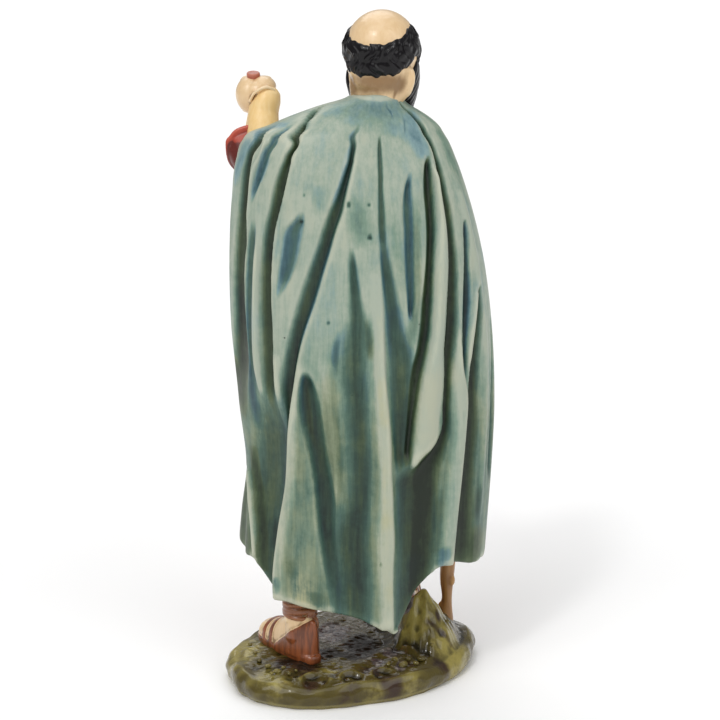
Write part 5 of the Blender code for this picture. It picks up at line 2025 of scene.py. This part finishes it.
@dataclass
class Ground:
    """The oval piece of ground with its rock, dimples and pebbles."""

    length: float = 83.0
    width: float = 62.0
    thickness: float = 9.0
    edge_rounding: float = 4.4
    wall: Knots = (
        (0.0, 0.958, 0.2), (0.2, 0.983, 1.4), (0.45, 0.998, 3.1), (0.7, 0.992, 4.8), (0.88, 0.972, 6.2),
        (1.0, 0.944, 7.1),
    )
    turn: float = math.radians(32.0)
    columns: int = 366
    rows: int = 114
    peak: tuple[float, float, float] = (-19.6, 0.0, 25.6)
    rock_faces: Knots = ((12, 1.48), (72, 1.3), (122, 1.2), (176, 1.35), (222, 1.3), (270, 1.6), (330, 2.2))
    step: tuple[float, float, float, float] = (-16.5, -16.5, 13.0, 13.0)
    dimples: Knots = ((13.3, 29.8, 3.4, 2.4), (2.1, 28.6, 3.0, 2.2), (-7.6, 25.6, 3.3, 2.3))
    stones: Knots = (
        (8, -4, 7, 9, 0.9), (-15, -3, 3.2, 9, 1.0), (-9, 12, 4, 4, 0.8), (-6, 18, 3, 3, 0.8),
        (-12, 20, 3, 3, 0.75), (-25, -11, 3.5, 5, 0.9),
    )
    # Brown stains, and painted shadow under the left heel and under the middle of the cloak
    stains_and_shadows: Knots = (
        (19, 20, 8, 7, 1.0), (-1, 7, 7, 10, 1.0), (8, 12, 8, 4, 0.9), (-3, 24, 4, 3, 0.8), (-9, 27, 4, 3, 0.8),
        (-15, 18, 4, 3, 0.8), (-24, 15, 4, 2.5, 0.8), (-25, 7, 7, 1.2, 0.8), (-24, 4, 1.2, 2, 0.9),
        (-11, -3, 1.2, 9, 1.0), (-17.5, -4, 1.0, 8, 0.9), (14, 31, 3.6, 2.6, 0.75), (2, 31, 3.2, 2.4, 0.7),
        (4, 35, 5, 3, 0.7), (36, 10, 1.5, 5, 0.5),
    )
    # Painted shadow under the middle of the cloak and under the left heel; the gloss is cut there too
    painted_shadows: Knots = ((-1, 6, 6, 8, 1.0), (6, 13, 8, 4, 0.8), (20, 19, 7, 6, 0.7))
    # Paler moss: paler paint, and on the left rim a painted sheen of the bright surroundings
    lights: Knots = (
        (-17, 4, 6, 7, 1.0), (-29, 8, 8, 9, 0.9), (37, 8, 6, 14, 0.7), (-22, -3, 5.5, 10, 1.0),
        (-27, 10, 5, 4, 0.7), (34, 8, 5, 14, 0.8), (28, 26, 6, 5, 0.7), (9, 25, 4, 2.5, 0.7), (-3, 31, 4, 3, 0.5),
        (-18, 26, 6, 4, 0.7), (-14, 8, 3, 4, 0.6), (24, 30, 5, 4, 0.6),
    )

    pebble_places: Knots = (
        (24.5, 25.5, 1.2), (21.0, 27.0, 0.9), (27.5, 22.0, 1.0), (19.0, 25.0, 0.7), (22.8, 23.6, 0.8),
        (26.2, 26.6, 0.7), (-13.0, 19.5, 1.5), (-10.5, 17.2, 1.2), (-14.8, 16.2, 1.1), (-16.8, 19.4, 0.9),
        (-8.6, 19.8, 1.0), (-18.5, 15.6, 1.2), (-22.0, 12.2, 0.9), (32.0, 12.0, 0.8), (30.5, 16.5, 1.0),
        (8.0, 20.0, 0.9), (5.6, 22.0, 0.7), (-27.0, 3.0, 0.8), (34.0, 5.0, 0.9), (16.0, -20.0, 1.1),
        (4.0, -22.0, 1.3), (24.0, -12.0, 0.9), (-2.0, -18.0, 0.8), (10.0, -14.0, 0.7),
    )

    @staticmethod
    def patches(table: Knots, x: Points, y: Points) -> Points:
        """How much of a paint lies where.

        Args:
            table: Rows of x, y, half the width, half the length and strength.
            x: Places along X.
            y: Places along Y.

        Returns:
            The strongest patch at each place.
        """
        layers = []
        for px, py, wide, deep, strength in table:
            far = ((x - px) / wide) ** 2 + ((y - py) / deep) ** 2
            layers.append(strength * np.exp(-(far**1.3)))
        return np.max(layers, axis=0)

    def rock(self, x: Points, y: Points) -> Points:
        """Height of the rock.

        Args:
            x: Places along X.
            y: Places along Y.

        Returns:
            The height, far below the ground away from the rock.
        """
        px, py, top = self.peak
        chip = 0.5 * np.sin(x * 1.3 + y * 0.7) * np.sin(y * 1.1 - x * 0.5)
        planes = []
        for bearing, slope in self.rock_faces:
            a = math.radians(bearing)
            planes.append(top - slope * ((x - px) * math.cos(a) + (y - py) * math.sin(a)))
        hill = np.min(planes, axis=0) + chip + 3.2 * np.exp(-(((x - px - 5.0) / 3.4) ** 2) - ((y - 1.0) / 4.5) ** 2)
        cx, cy, radius, level = self.step
        far = np.hypot((x - cx) * 1.15, y - cy)
        shelf = level - 0.2 - np.maximum(0, far - radius) * 1.2
        mound = self.thickness - 1 + 8.5 * np.exp(-(((x + 20.5) / 10.5) ** 4) - ((y + 1.0) / 11.0) ** 2)
        mound = mound + 0.35 * np.sin(x * 0.9 + 0.5 * y) * np.cos(y * 0.8)
        blunt = top - 0.6 - 0.03 * ((x - px) ** 2 + (y - py) ** 2)
        return np.maximum(np.maximum(np.minimum(hill, blunt), shelf), mound)

    def height(self, x: Points, y: Points) -> Points:
        """Height of the modelled ground.

        Args:
            x: Places along X.
            y: Places along Y.

        Returns:
            The height.
        """
        swell = 0.5 * np.sin(x * 0.31 + 1.0) * np.cos(y * 0.27) + 0.3 * np.sin(x * 0.7 - y * 0.55)
        rough = 0.1 * np.sin(x * 1.3 + 1.3 * np.sin(y * 0.8)) * np.sin(y * 1.7 + 1.1 * np.sin(x * 0.9))
        grooves = 0.17 * np.sin(y * 1.9 + 1.4 * np.sin(x * 0.33 + 1.0) + 0.3 * x)
        rough = rough + grooves * np.sin(x * 0.31 + y * 0.43 + np.sin(x * 0.6))
        rough = rough + 0.07 * np.sin(y * 4.1 - 0.8 * x + 2.0 * np.sin(x * 0.4)) * np.cos(x * 0.7 + y * 0.2)
        level = self.thickness + swell - 0.3 + rough
        for px, py, radius, depth in self.dimples:
            far = np.hypot(x - px, (y - py) * 1.25) / radius
            level = level - depth * np.exp(-(far**4)) + 0.7 * np.exp(-(((far - 1.25) * 3.2) ** 2))
            level = level + 0.5 * np.exp(-((np.hypot(x - px - 0.4, y - py + 0.6) / 0.8) ** 2))
        return np.maximum(level, self.rock(x, y))

    def build(self) -> Piece:
        """Makes the ground as rings from its underside over the rim to its middle."""
        angle = even_turns(self.columns)[None, :]
        wobble = 1 + 0.012 * np.sin(3 * angle + 0.6) + 0.01 * np.sin(5 * angle - 1.2) + 0.006 * np.sin(9 * angle)
        wobble = wobble + 0.003 * np.sin(23 * angle + 2 * np.sin(7 * angle))
        wobble = wobble - 0.022 * np.exp(-(((angle - 2.25) / 0.5) ** 2))
        long_way, short_way = self.length / 2 * np.cos(angle) * wobble, self.width / 2 * np.sin(angle) * wobble
        c, s = math.cos(self.turn), math.sin(self.turn)
        rim_x, rim_y = long_way * c - short_way * s, long_way * s + short_way * c
        rings = [np.stack([rim_x * share, rim_y * share, 0 * rim_x], axis=-1) for share in (0.02, 0.952)]
        wall = np.array(self.wall)
        uneven = 1 + 0.07 * np.sin(5 * angle + 1.0) + 0.05 * np.sin(11 * angle + 2.0)
        for t in np.linspace(0, 1, 20):
            share, level = (smooth_curve(t, wall[:, 0], wall[:, k]) for k in (1, 2))
            dent = 1 + 0.005 * np.sin(13 * angle + 4 * t + 1.4 * np.sin(5 * angle)) + 0.003 * np.sin(31 * angle - 6 * t)
            x, y = rim_x * share * dent, rim_y * share * dent
            rings.append(np.stack([x, y, level * (1 + t * (uneven - 1))], axis=-1))
        top_share, top_level = wall[-1, 1:]
        inset = 1 - self.edge_rounding / (self.width / 2)
        rounded, inwards = np.linspace(top_share - 0.008, inset, 8)[:-1], np.linspace(inset, 0.02, self.rows)
        for share in np.concatenate([rounded, inwards]):
            x, y = rim_x * share, rim_y * share
            top = self.height(x - FIGURE_PLACE[0], y - FIGURE_PLACE[1])
            lift = top * (1 - 0.12 * ease(np.array(share), inset - 0.22, inset + 0.02))
            over = float(ease(np.array(share), inset - 0.02, top_share + 0.004))
            rings.append(np.stack([x, y, lift * (1 - over) + over * top_level * uneven], axis=-1))
        points = np.concatenate(rings, axis=0).reshape(-1, self.columns, 3) - np.array(FIGURE_PLACE)
        flat = points.reshape(-1, 3)
        piece = make_piece("ground", flat, tube_faces(len(points), self.columns), 70.0)
        x, y, z = flat.T
        for name, table in (("light", self.lights), ("stone", self.stones), ("stain_and_shadow", self.stains_and_shadows)):
            mark(piece, name, self.patches(table, x, y))
        mark_hollows(piece, 14, 0.4)
        # Painted shadow under the cloak and the heel: it darkens the wash and takes away the gloss
        dark = self.patches(self.painted_shadows, x, y)
        mark(piece, "painted_shadow", dark)
        shade_more(piece, 0.8 * dark)
        return piece

    def pebbles(self) -> Piece:
        """Small stones and crumbs pressed into the ground."""
        clay = Clay()
        for k, (x, y, size) in enumerate(self.pebble_places):
            level = float(self.height(np.array(x), np.array(y)))
            turned = Matrix.Rotation(1.7 * k, 3, "Z")
            clay.ball(Vector((x, y, level - size * 0.15)), (size * 1.15, size * 0.85, size * 0.7), turned, 14)
        piece = clay.fuse("pebbles", 0.3, 2, 60000)
        points = figure_points(piece)
        none = np.zeros(len(points))
        stony = 0.25 + 0.25 * np.sin(points[:, 0] * 0.9)
        for name, values in (("stone", stony), ("stain_and_shadow", none), ("light", none + 0.5), ("painted_shadow", none)):
            mark(piece, name, values)
        mark_hollows(piece, 5, 0.3)
        return piece

    def dress(self) -> list[Piece]:
        """Builds and paints the ground."""
        material = GroundPaint().material()
        return [dress(self.build(), material), dress(self.pebbles(), material)]


# Studio


@dataclass(frozen=True)
class Studio:
    """A pale floor, soft light and the camera behind and a little above the figure."""

    camera_place: tuple[float, float, float] = (-0.0022, 0.4796, 0.205)
    camera_pitch: float = math.radians(12.6)
    lens: float = 81.9
    sensor_width: float = 36.0
    nearest: float = 0.01
    sky_light: float = 0.3
    backdrop: float = 1.0
    floor_half: float = 60.0
    lights: tuple[tuple[str, float, float, float, float], ...] = (
        ("left_light", 38, 42, 0.85, 38),
        ("window_light", 30, 48, 0.42, 7),
        ("right_light", -48, 34, 0.75, 45),
        ("far_light", 170, 55, 0.9, 50),
        ("top_light", 20, 80, 0.45, 40),
    )

    def camera(self) -> Piece:
        """The camera, which looks towards -Y."""
        made = bpy.data.objects.new("camera", bpy.data.cameras.new("camera"))
        made.data.lens = self.lens
        made.data.sensor_width = self.sensor_width
        made.data.clip_start = self.nearest
        made.location = self.camera_place
        made.rotation_euler = (math.pi / 2 - self.camera_pitch, 0, math.pi)
        bpy.context.scene.collection.objects.link(made)
        bpy.context.scene.camera = made
        return made

    def soft_light(self, name: str, side: float, lift: float, power: float, spread: float) -> Piece:
        """A broad, far light that falls evenly on figure and floor.

        Args:
            name: Its name.
            side: Its bearing in degrees from the camera's side, towards the figure's left.
            lift: Its height in degrees.
            power: Its strength.
            spread: Its width in degrees.

        Returns:
            The light.
        """
        light = bpy.data.lights.new(name, "SUN")
        light.energy = power
        light.angle = math.radians(spread)
        made = bpy.data.objects.new(name, light)
        bearing, height = math.radians(side), math.radians(lift)
        away = math.cos(height)
        from_there = Vector((math.sin(bearing) * away, math.cos(bearing) * away, math.sin(height)))
        made.rotation_euler = (-from_there).to_track_quat("-Z", "Y").to_euler()
        made.location = from_there
        bpy.context.scene.collection.objects.link(made)
        return made

    def floor(self) -> Piece:
        """A plain pale floor."""
        mesh = bpy.data.meshes.new("floor")
        half = self.floor_half
        mesh.from_pydata([(-half, -half, 0), (half, -half, 0), (half, half, 0), (-half, half, 0)], [], [(0, 1, 2, 3)])
        made = bpy.data.objects.new("floor", mesh)
        material = bpy.data.materials.new("floor_paper")
        material.use_nodes = True
        shader = material.node_tree.nodes["Principled BSDF"]
        shader.inputs["Base Color"].default_value = (0.98, 0.98, 0.98, 1)
        shader.inputs["Roughness"].default_value = 1.0
        shader.inputs["Specular IOR Level"].default_value = 0.0
        mesh.materials.append(material)
        bpy.context.scene.collection.objects.link(made)
        return made

    def world(self) -> bpy.types.World:
        """A white surround that lights the figure softly."""
        world = bpy.data.worlds.new("studio")
        world.use_nodes = True
        table = NodeTable(world.node_tree)
        seen = table.add("LightPath").outputs["Is Camera Ray"]
        strength = table.plus(self.sky_light, table.times(seen, self.backdrop - self.sky_light))
        table.feed(world.node_tree.nodes["Background"].inputs["Strength"], strength)
        world.node_tree.nodes["Background"].inputs["Color"].default_value = (1, 1, 1, 1)
        bpy.context.scene.world = world
        return world

    def build(self) -> None:
        """Sets up camera, floor, world and lights."""
        self.camera()
        self.floor()
        self.world()
        bpy.context.scene.view_settings.view_transform = "Standard"
        for light in self.lights:
            self.soft_light(*light)


def main() -> None:
    """Builds the figurine's pieces in order."""
    logging.basicConfig(level=logging.INFO, format="%(name)s %(message)s")
    Studio().build()
    Cloak().dress()
    Tunic().dress()
    LeftArm().dress()
    RightArm().dress()
    ankle_left = Leg(
        "left_leg", Vector((9, 2, 98)), Vector((14, 4, 60)), Vector((18.2, 11.6, 21.5)),
        Vector((13.8, 18.4, GROUND_LEVEL)), Vector((28.6, -4.2, GROUND_LEVEL)), 1.0,
    )
    ankle_right = Leg(
        "right_leg", Vector((-9, -2, 98)), Vector((-11.5, -13, 62)), Vector((-12.4, -10, 25.5)),
        Vector((-11.0, -5.5, 13.0)), Vector((-15.4, -30.5, 12.2)), -1.0, 4.3,
    )
    ankle_left.dress()
    ankle_right.dress()
    Head().dress()
    Ground().dress()


if __name__ == "__main__":
    main()
